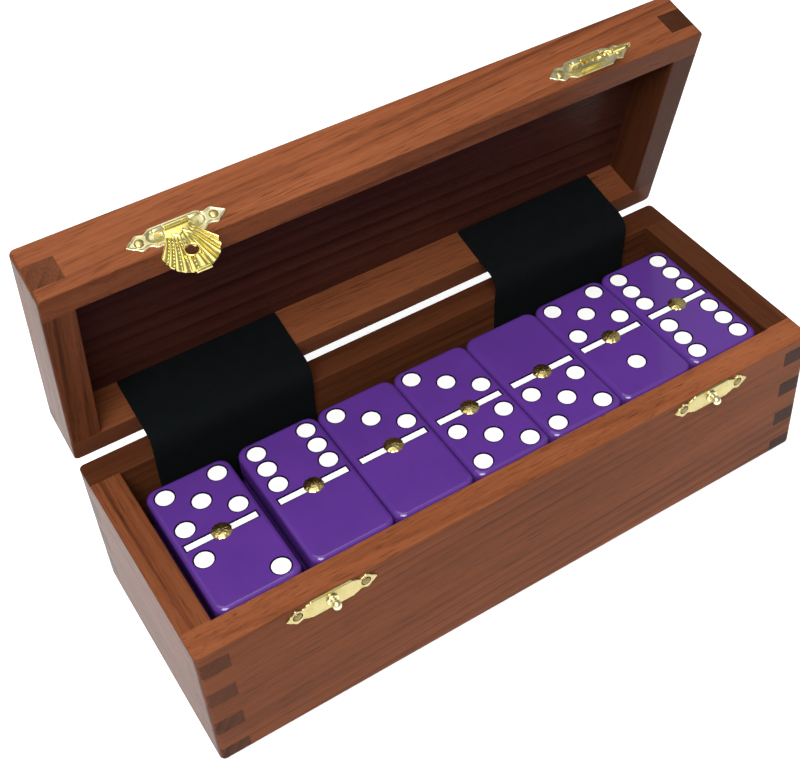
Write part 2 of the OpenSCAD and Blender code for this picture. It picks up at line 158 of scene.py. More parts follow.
def block(name, low, high):
    low, high = Vector(low), Vector(high)
    bpy.ops.mesh.primitive_cube_add(size=1, location=(low + high) / 2, scale=high - low)
    return settle(name)


TURNS = {"X": (0, math.pi / 2, 0), "Y": (math.pi / 2, 0, 0), "Z": (0, 0, 0)}


def rod(name, radius, length, centre, axis="X", sides=32):
    bpy.ops.mesh.primitive_cylinder_add(
        vertices=sides, radius=radius, depth=length, location=centre, rotation=TURNS[axis]
    )
    return settle(name)


def cone(name, low_radius, high_radius, height, centre, sides=32):
    bpy.ops.mesh.primitive_cone_add(
        vertices=sides, radius1=low_radius, radius2=high_radius, depth=height, location=centre
    )
    return settle(name)


def ball(name, radius, centre, sides=24):
    bpy.ops.mesh.primitive_uv_sphere_add(
        segments=sides, ring_count=sides // 2, radius=radius, location=centre
    )
    return settle(name)


def dome(name, radius, height, up, sides, cuts=0):
    """Half a ball, its flat side at the origin and its crown up, flattened to a height."""
    half = ball(name, radius, (0, 0, 0), sides)
    edit(half, "VERT")
    bpy.ops.mesh.bisect(plane_co=(0, 0, 0), plane_no=-Vector(up), use_fill=True, clear_outer=True)
    bpy.ops.mesh.select_all(action="SELECT")
    flat = [height / radius if part else 1 for part in up]
    bpy.ops.transform.resize(value=flat, center_override=(0, 0, 0))
    if cuts:
        bpy.ops.mesh.subdivide(number_cuts=cuts)
    done()
    return half


def stretch(obj, wanted, factors, centre):
    """Scales the wanted faces about a point."""
    edit(obj, "FACE", wanted)
    bpy.ops.transform.resize(value=factors, center_override=centre)
    done()
    return obj


def round_edges(obj, width, wanted, segments=2):
    edit(obj, "EDGE", wanted)
    bpy.ops.mesh.bevel(offset=width, segments=segments, affect="EDGES")
    done()
    return obj


def round_ends(obj, width):
    """Rounds the two rims of a rod."""
    return round_edges(obj, width, lambda edge: edge.calc_face_angle(0) > math.radians(57))


# %% [markdown]
# A joiner saws and glues. Here `carve` does both, with a Boolean modifier that is applied at once,
# and `join` puts loose parts together in one object. The last touch is a very fine bevel on sharp
# edges, which catches the light as a real edge does, and normals weighted by face size, which keep
# flat faces flat.

# %% Carving, joining and finishing
def modify(obj, kind, **settings):
    """Adds a modifier, sets it up and applies it at once."""
    pick(obj)
    change = obj.modifiers.new(kind, kind)
    for setting, value in settings.items():
        setattr(change, setting, value)
    bpy.ops.object.modifier_apply(modifier=change.name)
    return obj


def carve(obj, tool, operation="DIFFERENCE", materials="INDEX"):
    modify(obj, "BOOLEAN", operation=operation, solver="EXACT", object=tool, material_mode=materials)
    discard(tool)
    return obj


def join(name, *parts):
    pick(*parts)
    if len(parts) > 1:
        bpy.ops.object.join()
    parts[0].name = name
    return parts[0]


def copy_of(obj, matrix=Matrix.Identity(4)):
    twin = obj.copy()
    twin.data = obj.data.copy()
    twin.data.transform(matrix)
    bpy.context.scene.collection.objects.link(twin)
    return twin


def hold(name, data):
    """An object for a mesh, a lamp or a lens that was made without an operator."""
    holder = bpy.data.objects.new(name, data)
    bpy.context.scene.collection.objects.link(holder)
    return holder


def discard(*tools):
    for tool in tools:
        bpy.data.objects.remove(tool)


def paint(obj, material):
    """Gives the whole piece one material."""
    obj.data.materials.clear()
    obj.data.materials.append(material)
    return obj


def smooth(obj, degrees=35):
    pick(obj)
    bpy.ops.object.shade_smooth_by_angle(angle=math.radians(degrees))
    return modify(obj, "WEIGHTED_NORMAL", keep_sharp=True)


def ease(obj, width, segments=1, degrees=40):
    """A fine bevel on all sharp edges."""
    return smooth(modify(obj, "BEVEL", width=width, segments=segments, angle_limit=math.radians(degrees)))


def move(obj, matrix):
    obj.data.transform(matrix)
    obj.data.update()
    return obj


def dress(obj, body, slot, *nodes):
    """The piece rides on its body and stands for its nodes; the slot is not used."""
    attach(obj, body)
    if nodes:
        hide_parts(*nodes)
    return obj


def set_down(obj, matrix, name, body, slot, node):
    """Dresses a copy of a finished part in its place."""
    twin = copy_of(obj, matrix)
    twin.name = name
    dress(twin, body, slot, node)


# %% [markdown]
# ## Finishes
#
# A material is a small network of nodes. `put` wires a socket or sets it, `add_node` adds a node
# with its inputs filled in, and the others add the kinds of node that the finishes share. A value
# that is the same all over is set straight on the shader.

# %% Node helpers
def new_material(name):
    material = bpy.data.materials.new(name)
    material.use_nodes = True
    return material, material.node_tree, material.node_tree.nodes["Principled BSDF"]


def put(tree, socket, value):
    if isinstance(value, bpy.types.NodeSocket):
        tree.links.new(value, socket)
    else:
        socket.default_value = value


def add_node(tree, kind, inputs, **settings):
    """A new node, with its inputs given as pairs of a name or number and a value."""
    made = tree.nodes.new("ShaderNode" + kind)
    for setting, value in settings.items():
        setattr(made, setting, value)
    for key, value in inputs:
        put(tree, made.inputs[key], value)
    return made


def number(tree, operation, *values):
    return add_node(tree, "Math", enumerate(values), operation=operation).outputs[0]


def vector(tree, operation, *values):
    made = add_node(tree, "VectorMath", enumerate(values), operation=operation)
    return made.outputs[1 if operation == "LENGTH" else 0]


def cloud(tree, at, stretch, detail=2.0, roughness=0.5, output="Fac"):
    """Soft noise with so many lumps a metre along each axis."""
    where = vector(tree, "MULTIPLY", at, stretch)
    inputs = [("Vector", where), ("Scale", 1.0), ("Detail", detail), ("Roughness", roughness)]
    return add_node(tree, "TexNoise", inputs).outputs[output]


def ramp(tree, factor, *stops):
    """A colour ramp from (place, colour) pairs."""
    made = add_node(tree, "ValToRGB", [("Fac", factor)])
    marks = made.color_ramp.elements
    while len(marks) < len(stops):
        marks.new(0.5)
    for mark, (place, colour) in zip(marks, stops):
        mark.position = place
        mark.color = (*colour, 1)
    return made.outputs["Color"]


def blend_colours(tree, factor, first, second):
    inputs = [("Factor", factor), ("A", first), ("B", second)]
    return add_node(tree, "Mix", inputs, data_type="RGBA").outputs["Result"]


def between(tree, *values):
    """A value taken from one range to another, or to 0 to 1, and kept inside it."""
    return add_node(tree, "MapRange", enumerate(values)).outputs["Result"]


def place_of(tree, turn=(0, 0, 0), shift=(0, 0, 0), output="Object"):
    """The place on the piece, or the way its surface faces, turned and shifted."""
    where = add_node(tree, "TexCoord", ()).outputs[output]
    angles = [math.radians(angle) for angle in turn]
    inputs = [("Vector", where), ("Location", shift), ("Rotation", angles)]
    return add_node(tree, "Mapping", inputs).outputs["Vector"]


def bump(tree, shader, height, strength, distance):
    inputs = [("Strength", strength), ("Distance", distance), ("Height", height)]
    put(tree, shader.inputs["Normal"], add_node(tree, "Bump", inputs).outputs["Normal"])


def fill_in(tree, shader, colour, roughness, specular=0.5, metallic=0.0):
    """Fills in the shader's main inputs."""
    names = ("Base Color", "Roughness", "Specular IOR Level", "Metallic")
    for name, value in zip(names, (colour, roughness, specular, metallic)):
        put(tree, shader.inputs[name], value)


# %% [markdown]
# The wood is a reddish walnut under satin varnish. Real timber is a solid pattern that a board is
# cut from, so the colours come from the place inside the log: growth rings around a far pith,
# fibres stretched along the grain and short dark pores. They show as long streaks on a face and as
# dots and arcs on an end. End grain soaks up more finish, so what faces along the grain is darker.

# %% Wood
PITH = Vector((0, 0.031, -0.052))
RINGS_PER_METRE = 310
ONE_RING = [(0, 0.1), (0.55, 0.5), (0.86, 1), (1, 0.1)]
WAVE = 0.006
END_GRAIN_TINT = (0.50, 0.55, 0.62)


def wood(name, turn, shift, depth, dark, middle, light):
    material, tree, shader = new_material(name)
    at = place_of(tree, turn, shift)
    facing = add_node(tree, "SeparateXYZ", [(0, place_of(tree, turn, output="Normal"))])
    end_grain = between(tree, number(tree, "ABSOLUTE", facing.outputs["X"]), 0.5, 0.85)

    lumps = vector(tree, "SUBTRACT", cloud(tree, at, (5, 24, 24), output="Color"), (0.5, 0.5, 0.5))
    wavy = vector(tree, "ADD", at, vector(tree, "MULTIPLY", lumps, (WAVE, WAVE, WAVE)))
    from_pith = vector(tree, "SUBTRACT", vector(tree, "MULTIPLY", wavy, (0.04, 1, 1)), PITH)
    rings = number(tree, "MULTIPLY", vector(tree, "LENGTH", from_pith), RINGS_PER_METRE)
    stops = [(place, (height,) * 3) for place, height in ONE_RING]
    rings = ramp(tree, number(tree, "FRACT", rings), *stops)
    bands = cloud(tree, wavy, (5, 110, 110))
    fibres = cloud(tree, wavy, (15, 1400, 1400))
    hairs = cloud(tree, wavy, (130, 3600, 3600), 2, 0.6)
    pores = between(tree, cloud(tree, wavy, (110, 3400, 3400), 1), 0.62, 0.70)

    tone = number(tree, "MULTIPLY_ADD", fibres, 0.28, number(tree, "MULTIPLY", hairs, 0.30))
    tone = number(tree, "MULTIPLY_ADD", bands, 0.30, tone)
    fading = between(tree, cloud(tree, at, (6, 55, 55)), 0.42, 0.66, -0.04, -0.26)
    tone = number(tree, "MULTIPLY_ADD", rings, fading, tone)
    colour = ramp(tree, tone, (0.15, dark), (0.37, middle), (0.56, light))
    # The board's lightness scales its whole tone here, so the painted shade of the back and right boards
    # comes in at this step.
    patches = between(tree, cloud(tree, at, (9, 38, 38)), 0.3, 0.7, 0.88 * depth, 1.10 * depth)
    colour = vector(tree, "MULTIPLY", colour, patches)
    pore_colour = (*[0.5 * part for part in dark], 1)
    colour = blend_colours(tree, number(tree, "MULTIPLY", pores, 0.6), colour, pore_colour)
    ends = vector(tree, "MULTIPLY", colour, END_GRAIN_TINT)
    colour = blend_colours(tree, number(tree, "MULTIPLY", end_grain, 0.8), colour, ends)
    fill_in(tree, shader, colour, between(tree, fibres, 0.2, 0.8, 0.28, 0.40), 0.05)
    height = number(tree, "MULTIPLY_ADD", pores, -1.0, number(tree, "MULTIPLY", fibres, 0.6))
    bump(tree, shader, height, 0.25, 0.15 * MM)
    return material


WALNUT = (0.098, 0.028, 0.011), (0.210, 0.063, 0.024), (0.276, 0.089, 0.035)
# The panels' tones are painted shade: the walnut made about three times darker, for the shaded inside of
# the lid and the floor under the tiles.
PANEL_SHADE_TONES = (0.030, 0.008, 0.006), (0.066, 0.019, 0.013), (0.092, 0.028, 0.018)

# %% [markdown]
# ## The base
#
# The base is four boards round a floor panel. The front and back boards run the full length, and
# the end boards have bars that pass through the corners as fingers. A real box is glued up first
# and sanded round afterwards, so the rounding runs over the joints without a step. It is the same
# here: square boards are cut first, and then each is kept only where it lies inside one shared,
# rounded envelope. A flared tool eases the inner edge of the rim.

# %% Measures of the boards
outer_low, wall_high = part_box("base_front_wall")
outer_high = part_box("base_back_wall")[1]
WALL = wall_high.y - outer_low.y
ROUND = 1.6 * MM
RIM_ROUND = 0.4 * MM
FLARE = 0.3 * MM
FINE_EDGE = 0.07 * MM
FINGER_HEIGHT = 5.7 * MM
FINGER_STEP = 12.9 * MM
base_fingers = [(step * FINGER_STEP, step * FINGER_STEP + FINGER_HEIGHT) for step in range(4)]
print("walls in mm:", round(WALL / MM, 2), "fingers a corner:", len(base_fingers))

# %% [markdown]
# All boards share a few tools: the bars of a corner joint, the rounded envelope and the flared plug
# for the rim. A tool is used up by its cut, so each is made anew from the same measures.

# %% Shared tools for boards
def is_level(edge, height):
    return all(abs(vertex.co.z - height) < 1e-6 for vertex in edge.verts)


def is_upright(edge):
    a, b = (vertex.co for vertex in edge.verts)
    return abs(a.z - b.z) > 1e-4 and (a - b).xy.length < 1e-6


def envelope(low, high, closed_z, rim_z):
    """The sanded outside of a box whose closed side is at closed_z and whose rim is at rim_z."""
    body = block("envelope", low, high)
    round_edges(body, ROUND, lambda edge: is_upright(edge) or is_level(edge, closed_z), 6)
    return round_edges(body, RIM_ROUND, lambda edge: is_level(edge, rim_z), 3)


def flare(low, high, rim_z, outward):
    """A wedge ring that eases the inner edge of the rim, outward being 1 or -1 along Z."""
    inner_low, inner_high = low + Vector((WALL, WALL, 0)), high - Vector((WALL, WALL, 0))
    inner_low.z, inner_high.z = sorted((rim_z - 2 * outward * FLARE, rim_z + outward * FLARE))
    tool = block("flare", inner_low + Vector((FLARE, FLARE, 0)), inner_high - Vector((FLARE, FLARE, 0)))
    mouth = rim_z + outward * FLARE
    size = inner_high - inner_low
    wider = [(s + 4 * FLARE) / (s - 2 * FLARE) for s in (size.x, size.y)]
    at_mouth = lambda face: abs(face.calc_center_median().z - mouth) < 1e-6
    return stretch(tool, at_mouth, (*wider, 1), (0, 0, mouth))


def wall_span(side, reach):
    """Where a wall starts and stops along an axis, for a box that reaches so far on both sides."""
    return sorted((side * reach, side * (reach - WALL)))


def bars(side, fingers, low, high):
    """The bars of one end board that pass through both corners, as one tool."""
    x = wall_span(side, high.x)
    made = [block("bar", (x[0], low.y, start), (x[1], high.y, stop)) for start, stop in fingers]
    return join("bars", *made)


# %% [markdown]
# A long board starts as a plain plank, and the bars of both end boards are cut out of its corners.
# An end board starts as the short plank between the long ones, and its bars are glued on: real
# fingers are sawn from one board, but a union gives the same solid. Then a ledge for the panel is
# cut along each board, and the board is shaped.

# %% Long boards and end boards
def long_board(name, side, fingers, low, high, closed_z, rim_z, panel):
    y = wall_span(side, high.y)
    board = block(name, (low.x, y[0], low.z), (high.x, y[1], high.z))
    for end in (-1, 1):
        carve(board, bars(end, fingers, low, high))
    return shape_board(board, low, high, closed_z, rim_z, panel)


def end_board(name, side, fingers, low, high, closed_z, rim_z, panel):
    x = wall_span(side, high.x)
    board = block(name, (x[0], low.y + WALL, low.z), (x[1], high.y - WALL, high.z))
    carve(board, bars(side, fingers, low, high), "UNION")
    return shape_board(board, low, high, closed_z, rim_z, panel)


def shape_board(board, low, high, closed_z, rim_z, panel):
    outward = 1 if rim_z > closed_z else -1
    carve(board, block("rabbet", *panel))
    carve(board, envelope(low, high, closed_z, rim_z), "INTERSECT")
    return carve(board, flare(low, high, rim_z, outward))


def four_boards(part, *case):
    """The four boards of the base or the lid, by the names of their nodes."""
    made = {}
    for saw, walls in ((long_board, ("front", "back")), (end_board, SIDES)):
        for wall, side in zip(walls, (-1, 1)):
            made[f"{part}_{wall}_wall"] = saw(f"{part}_{wall}_board", side, *case)
    return made


# %% [markdown]
# Now the four boards of the base are cut. The tool for the panel's ledge reaches a millimetre below
# the floor, because a Boolean tool that ends on a face of the board can leave a thin skin.

# %% Cut the boards of the base
floor_low, floor_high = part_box("base_floor")
base_panel = (floor_low - Vector((0, 0, MM)), floor_high)
base_boards = four_boards(
    "base", base_fingers, outer_low, outer_high, outer_low.z, outer_high.z, base_panel
)
for node, board in base_boards.items():
    print(board.name, len(board.data.polygons), "faces")

# %% [markdown]
# ## The lid
#
# The lid is the same construction turned over and less deep, with one finger at each corner. It is
# built shut, from the shut measures of its nodes.

# %% Cut the boards of the lid
lid_low = shut_box("lid_front_wall")[0]
lid_high = shut_box("lid_back_wall")[1]
LID_FINGER_Z = 3.6 * MM
LID_FINGER_HEIGHT = 7.4 * MM
finger_foot = lid_low.z + LID_FINGER_Z
lid_fingers = [(finger_foot, finger_foot + LID_FINGER_HEIGHT)]
panel_low, panel_high = shut_box("lid_panel")
lid_panel_space = (panel_low, panel_high + Vector((0, 0, MM)))
lid_boards = four_boards(
    "lid", lid_fingers, lid_low, lid_high, lid_high.z, lid_low.z, lid_panel_space
)
print("lid in mm:", [round((b - a) / MM, 1) for a, b in zip(lid_low, lid_high)])

# %% [markdown]
# The two back boards are mortised for the hinges: a shallow step for each leaf, and a trough for
# the knuckles along the back edge. Both tools are made from the leaves' own boxes, a little larger.

# %% Hinge mortises
LEAF_PLAY = 0.05 * MM
LEAF_SEAT = 0.9 * MM
TROUGH_RADIUS = 1.8 * MM
TROUGH_PLAY = 0.3 * MM


def hinge_tools(leaf_low, leaf_high):
    """A mortise and a trough around the hinge axis, for one hinge, as two tools."""
    step = leaf_high.z - leaf_low.z
    mortise = block(
        "mortise",
        (leaf_low.x - LEAF_PLAY, leaf_low.y - LEAF_PLAY, hinge.z - LEAF_SEAT),
        (leaf_high.x + LEAF_PLAY, hinge.y + step, hinge.z + LEAF_SEAT),
    )
    centre = ((leaf_low.x + leaf_high.x) / 2, hinge.y, hinge.z)
    length = leaf_high.x - leaf_low.x + 2 * TROUGH_PLAY
    return mortise, rod("trough", TROUGH_RADIUS, length, centre)


for side in SIDES:
    for board in (base_boards["base_back_wall"], lid_boards["lid_back_wall"]):
        for tool in hinge_tools(*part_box(f"hinge_{side}_base_leaf")):
            carve(board, tool)
print("mortised both back boards for two hinges")

# %% [markdown]
# The floor and the lid's top panel sit in their rabbets. They are thin solid panels with a small
# bevel all round, and both are painted much darker than the walls: painted shade, for the shade
# inside the lid and under the tiles.

# %% Panels
PANEL_GAP = 0.03 * MM
PANEL_BEVEL = 0.25 * MM


def panel_board(name, low, high):
    gap = Vector((PANEL_GAP, PANEL_GAP, 0))
    return ease(block(name, low + gap, high - gap), PANEL_BEVEL, 2)


floor_panel = panel_board("base_floor_panel", floor_low, floor_high)
top_panel = panel_board("lid_top_panel", panel_low, panel_high)
print("panels in mm:", [round(v / MM, 1) for v in floor_panel.dimensions])

# %% [markdown]
# Now each board gets its fine edges and its own cut of wood. Boards that run along the box keep
# the pattern's X axis, and end boards turn it by a quarter. On the lid the pattern is turned back
# by the opening angle too, so that the grain follows the board when the lid stands open. A cut is
# given by where it lies in the log, how light the board is and how far the grain slants. The back
# boards are made darker as painted shade under the standing lid, and the right-hand boards are
# darker partly as a darker board and partly as painted shade.

# %% Finish the boards
# Each cut gives three numbers for its place in the log, then the board's lightness, then its slant. The
# low lightness of the back boards is painted shade from the standing lid; on the right-hand boards it is
# partly a darker board and partly painted shade.
CUTS = {
    "base_front_wall": (0.11, 0.020, 0.005, 1.05, 3), "base_back_wall": (0.47, -0.014, 0.020, 0.36, 1),
    "base_left_wall": (0.83, 0.031, -0.01, 0.85, -2), "base_right_wall": (1.27, -0.022, 0.03, 0.38, 2),
    "lid_front_wall": (1.61, 0.012, 0.052, 1.0, 4), "lid_back_wall": (2.05, 0.027, -0.008, 0.72, -1),
    "lid_left_wall": (2.43, -0.011, 0.012, 0.82, 1), "lid_right_wall": (2.89, 0.018, 0.006, 0.38, 2),
    "base_floor": (3.31, 0.004, 0.014, 1.0, 1), "lid_panel": (3.77, -0.012, 0.021, 1.0, 1),
}


def finish_board(node, board, in_lid, tones):
    quarter = 90 if "left" in node or "right" in node else 0
    *shift, depth, slant = CUTS[node]
    turn = (-lid_angle if in_lid else 0, slant, quarter)
    paint(board, wood(board.name + "_wood", turn, shift, depth, *tones))
    if in_lid:
        move(board, OPEN)
    dress(board, "lid" if in_lid else "base", "panel_wood" if tones is PANEL_SHADE_TONES else "walnut", node)


for node, board in (base_boards | lid_boards).items():
    ease(board, FINE_EDGE)
    finish_board(node, board, node in lid_boards, WALNUT)
finish_board("base_floor", floor_panel, False, PANEL_SHADE_TONES)
finish_board("lid_panel", top_panel, True, PANEL_SHADE_TONES)
print("finished", len(CUTS), "boards")

# %% [markdown]
# ## The dominoes
#
# A domino is a cast block of purple resin with rounded corners. Its pips and bar are shallow
# recesses filled with white, and a brass rivet, the spinner, sits in the middle. The resin has a
# faint cloudiness and fine polishing marks, and the white is an enamel that is never quite even.

# %% Resin, enamel and the painted shade on a recess wall
def mottled(name, lumps, stops, marks, gloss, waves, relief, specular=0.5, metallic=0.0):
    """Lumps of two tones, marks that vary the gloss and waves in the surface, each from a noise."""
    material, tree, shader = new_material(name)
    at = place_of(tree)
    colour = ramp(tree, cloud(tree, at, *lumps), *stops)
    roughness = between(tree, cloud(tree, at, *marks), 0.3, 0.7, *gloss)
    fill_in(tree, shader, colour, roughness, specular, metallic)
    bump(tree, shader, cloud(tree, at, *waves), *relief)
    return material


def matt(name, fineness, dark, light, detail=2.0):
    """A dull finish in two tones."""
    material, tree, shader = new_material(name)
    grime = cloud(tree, place_of(tree), fineness, detail)
    fill_in(tree, shader, ramp(tree, grime, (0.3, dark), (0.7, light)), 0.9, 0.0)
    return material


POLISH = [(700, 500, 700)]
RESIN_TONES = (0.25, (0.083, 0.027, 0.212)), (0.75, (0.100, 0.031, 0.246))
RESIN_CLOUDS = (70, 70, 70), 3, 0.6
RESIN = mottled(
    "purple_resin", RESIN_CLOUDS, RESIN_TONES, POLISH, (0.12, 0.19), POLISH, (0.02, 0.05 * MM), 0.6
)
EVEN = [(500, 500, 500)]
WHITES = (0.3, (0.93, 0.93, 0.92)), (0.7, (0.97, 0.97, 0.96))
ENAMEL = mottled("white_enamel", EVEN, WHITES, EVEN, (0.30, 0.42), EVEN, (0.15, 0.05 * MM))
# The near-black wall of a recess is painted shade, not a colour of the resin.
RECESS_WALL_SHADE = matt("painted_recess_shade", (1500, 1500, 1500), (0.004, 0.002, 0.012), (0.010, 0.004, 0.03))
print("tile finishes:", RESIN.name, ENAMEL.name, RECESS_WALL_SHADE.name)

# %% [markdown]
# Brass comes in a few tones: pale for the hinges and hasp plates, a deeper gold for the shells and
# rivets, and duller ones for the catches and their nails. The catch plates' brass is a darker copy
# of the pale brass, partly a duller brass and partly painted shade for the dimmer reflection of the
# catches. Pressed brass is bright but never a mirror: its gloss varies in soft patches, some of
# them tarnished, and the surface waves faintly.

# %% Brass
def brass(name, bright, tarnish, roughness, strength):
    patches, scuffs, waves = ((260, 260, 260), 3, 0.6), [(800, 800, 800)], [(600, 600, 600)]
    stops = (0.25, tarnish), (0.55, bright)
    gloss, relief = (roughness, roughness + 0.12), (strength, 0.12 * MM)
    return mottled(name, patches, stops, scuffs, gloss, waves, relief, metallic=1.0)


PALE_BRASS = brass("pale_brass", (0.86, 0.80, 0.50), (0.60, 0.53, 0.25), 0.27, 0.08)
GILT = brass("shell_gilt", (0.87, 0.75, 0.25), (0.60, 0.48, 0.13), 0.18, 0.2)
RIVET = brass("rivet_brass", (0.80, 0.65, 0.26), (0.44, 0.34, 0.11), 0.22, 0.3)
# The catch plates' darker brass is partly a duller brass and partly painted shade for their dimmer
# reflection.
CATCH_BRASS = brass("catch_brass", (0.53, 0.46, 0.21), (0.43, 0.35, 0.12), 0.24, 0.12)
OLD_BRASS = brass("old_brass", (0.26, 0.19, 0.08), (0.10, 0.07, 0.03), 0.3, 0.3)
TARNISH = brass("deep_tarnish", (0.05, 0.035, 0.015), (0.03, 0.02, 0.01), 0.5, 0.2)
print("brass finishes:", PALE_BRASS.name, GILT.name, RIVET.name)

# %% [markdown]
# The blank is modelled once: a block whose upright edges are rounded widely, and its top and
# bottom rims less.

# %% A blank tile
tile_low, tile_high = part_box("tile_0_0")
SPINNER_HEIGHT = 0.9 * MM
TILE = tile_high - tile_low - Vector((0, 0, SPINNER_HEIGHT))
TILE_CORNER = 3.6 * MM
TILE_EDGE = 1.6 * MM
blank = paint(block("blank", (-TILE.x / 2, -TILE.y / 2, 0), (TILE.x / 2, TILE.y / 2, TILE.z)), RESIN)
round_edges(blank, TILE_CORNER, is_upright, 8)
round_edges(blank, TILE_EDGE, lambda edge: is_level(edge, 0) or is_level(edge, TILE.z), 4)
print("a tile in mm:", [round(v / MM, 2) for v in TILE], len(blank.data.polygons), "faces")

# %% [markdown]
# A pip is cut with a short cone, so that its wall slopes and shows from above as a thin ring round
# the white. The cone's floor is white and its wall near-black, which is painted shade for the
# shadow that rings a real tile's pips, and the Boolean hands these materials on to the faces that
# it cuts. The bar is a block with its floor drawn in the same way.

# %% The pip and bar cutters
PIP_RADIUS = 2.62 * MM
PIP_DEPTH = 0.22 * MM
WALL_SLOPE = 0.43 * MM
BAR = Vector((21.0, 1.9)) * MM


def colour_cutter(cutter):
    """White where the cutter faces down and painted shade on its sides."""
    for material in (RESIN, ENAMEL, RECESS_WALL_SHADE):
        cutter.data.materials.append(material)
    for face in cutter.data.polygons:
        face.material_index = 1 if face.normal.z < -0.9 else 2
    return cutter


pip_cutter = colour_cutter(
    cone("pip_cutter", PIP_RADIUS, PIP_RADIUS + 2 * WALL_SLOPE, 2 * PIP_DEPTH, (0, 0, TILE.z))
)
bar_cutter = block(
    "bar_cutter", (-BAR.x / 2, -BAR.y / 2, TILE.z - PIP_DEPTH), (BAR.x / 2, BAR.y / 2, TILE.z + PIP_DEPTH)
)
wider = [1 + 4 * WALL_SLOPE / size for size in BAR]
stretch(bar_cutter, lambda face: face.normal.z > 0.5, (*wider, 1), (0, 0, TILE.z + PIP_DEPTH))
colour_cutter(bar_cutter)
print("a pip is", round(2 * PIP_RADIUS / MM, 2), "mm across")

# %% [markdown]
# The spinner's head is a low dome that was hammered and pinched, so its rim has soft lobes and its
# top is rough. A ball is cut in half, flattened and then pushed about by noise.

# %% The spinner
SPINNER_RADIUS = 2.95 * MM
LOBES = 11
PINCH = 0.05


def hammered(point):
    """Where a point of the smooth dome lies after hammering."""
    across = math.hypot(point.x, point.y) / SPINNER_RADIUS
    between_lobes = 0.5 - 0.5 * math.cos(LOBES * math.atan2(point.y, point.x))
    pinch = 1 - PINCH * across * between_lobes
    rough = noise.noise(point * 1500) * 0.06 + noise.noise(point * 3400) * 0.10
    height = point.z * (0.95 + rough - across**2 * (0.20 + 0.03 * between_lobes))
    return Vector((point.x * pinch, point.y * pinch, max(min(height, SPINNER_HEIGHT), 0)))


spinner = paint(dome("spinner", SPINNER_RADIUS, SPINNER_HEIGHT, (0, 0, 1), 40, 1), RIVET)
for vertex in spinner.data.vertices:
    vertex.co = hammered(vertex.co)
smooth(move(spinner, Matrix.Translation((0, 0, TILE.z))), 60)
print("spinner:", len(spinner.data.polygons), "faces")

# %% [markdown]
# Each tile is a copy of the blank, cut by copies of the pip where its two numbers want them. The
# pattern of a number is a short list of places in steps of the pip spacing. Two tiles of the top
# layer lie with their smaller number at the back. A copy of the spinner, turned at random, is
# joined on.

# %% The set of tiles
PIP_X = 7.85 * MM
PIP_ROW = 6.55 * MM
HALF_MIDDLE = TILE.y / 4 + 0.5 * MM
DIAGONAL = [(-1, 1), (1, -1)]
CORNERS = DIAGONAL + [(-1, -1), (1, 1)]
PATTERNS = {
    0: [], 1: [(0, 0)], 2: DIAGONAL, 3: DIAGONAL + [(0, 0)], 4: CORNERS,
    5: CORNERS + [(0, 0)], 6: CORNERS + [(-1, 0), (1, 0)],
}
SMALL_END_BACK = {"tile_5_3", "tile_5_0"}


def cutters_for(numbers):
    """One tool with the bar and all the pips of a tile, numbers being (back, front)."""
    parts = [copy_of(bar_cutter)]
    for number_here, half in zip(numbers, (1, -1)):
        for column, row in PATTERNS[number_here]:
            y = half * HALF_MIDDLE + row * PIP_ROW
            parts.append(copy_of(pip_cutter, Matrix.Translation((column * PIP_X, y, 0))))
    return join("cutters", *parts)


def domino(node, chance):
    numbers = [int(word) for word in node.split("_")[1:]]
    if node in SMALL_END_BACK:
        numbers.reverse()
    tile = carve(copy_of(blank), cutters_for(numbers), materials="TRANSFER")
    smooth(tile)
    turned = copy_of(spinner, Matrix.Rotation(chance.uniform(0, math.tau), 4, "Z"))
    tile = join(node.replace("tile", "domino"), tile, turned)
    foot = Vector((*centre_of(node).xy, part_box(node)[0].z))
    return dress(move(tile, Matrix.Translation(foot)), node, "tile_resin", node)


chance = random.Random(6)
dominoes = [domino(node, chance) for node in sorted(NODES) if node.startswith("tile_")]
discard(blank, pip_cutter, bar_cutter, spinner)
print(len(dominoes), "dominoes,", sum(len(d.data.polygons) for d in dominoes), "faces")

# %% [markdown]
# ## Hinges
#
# Each hinge is two stamped leaves with knuckles rolled from their back edge, turning on a pin. A
# leaf is modelled flat, with the pin's axis at the origin: a plate, knuckles glued on where they
# belong to this leaf and cleared away where they belong to the other, a bore, and countersinks for
# the screws. The lid's leaf is the same thing turned over.

# %% A hinge leaf
LEAF_LENGTH = 25 * MM
LEAF_WIDTH = 6 * MM
LEAF_TOP = 0.1 * MM
LEAF_THICK = 0.8 * MM
KNUCKLES = 5
KNUCKLE_RADIUS = 1.5 * MM
KNUCKLE_STEP = LEAF_LENGTH / KNUCKLES
KNUCKLE_PLAY = 0.15 * MM
PIN_RADIUS = 0.75 * MM
PIN_BORE = 0.8 * MM
SCREW_X = 8.5 * MM
SCREW_RADIUS = 0.8 * MM
SCREW_LENGTH = 6 * MM
HEAD_RADIUS = 1.4 * MM
HEAD_DEPTH = HEAD_RADIUS - SCREW_RADIUS
HEAD_PLAY = 0.02 * MM
SLOT = Vector((4, 0.4, 0.3)) * MM


def screw_head(name, x, wider=0.0):
    place = (x, -LEAF_WIDTH / 2, -LEAF_TOP - HEAD_DEPTH / 2)
    return cone(name, SCREW_RADIUS + wider, HEAD_RADIUS + wider, HEAD_DEPTH, place)


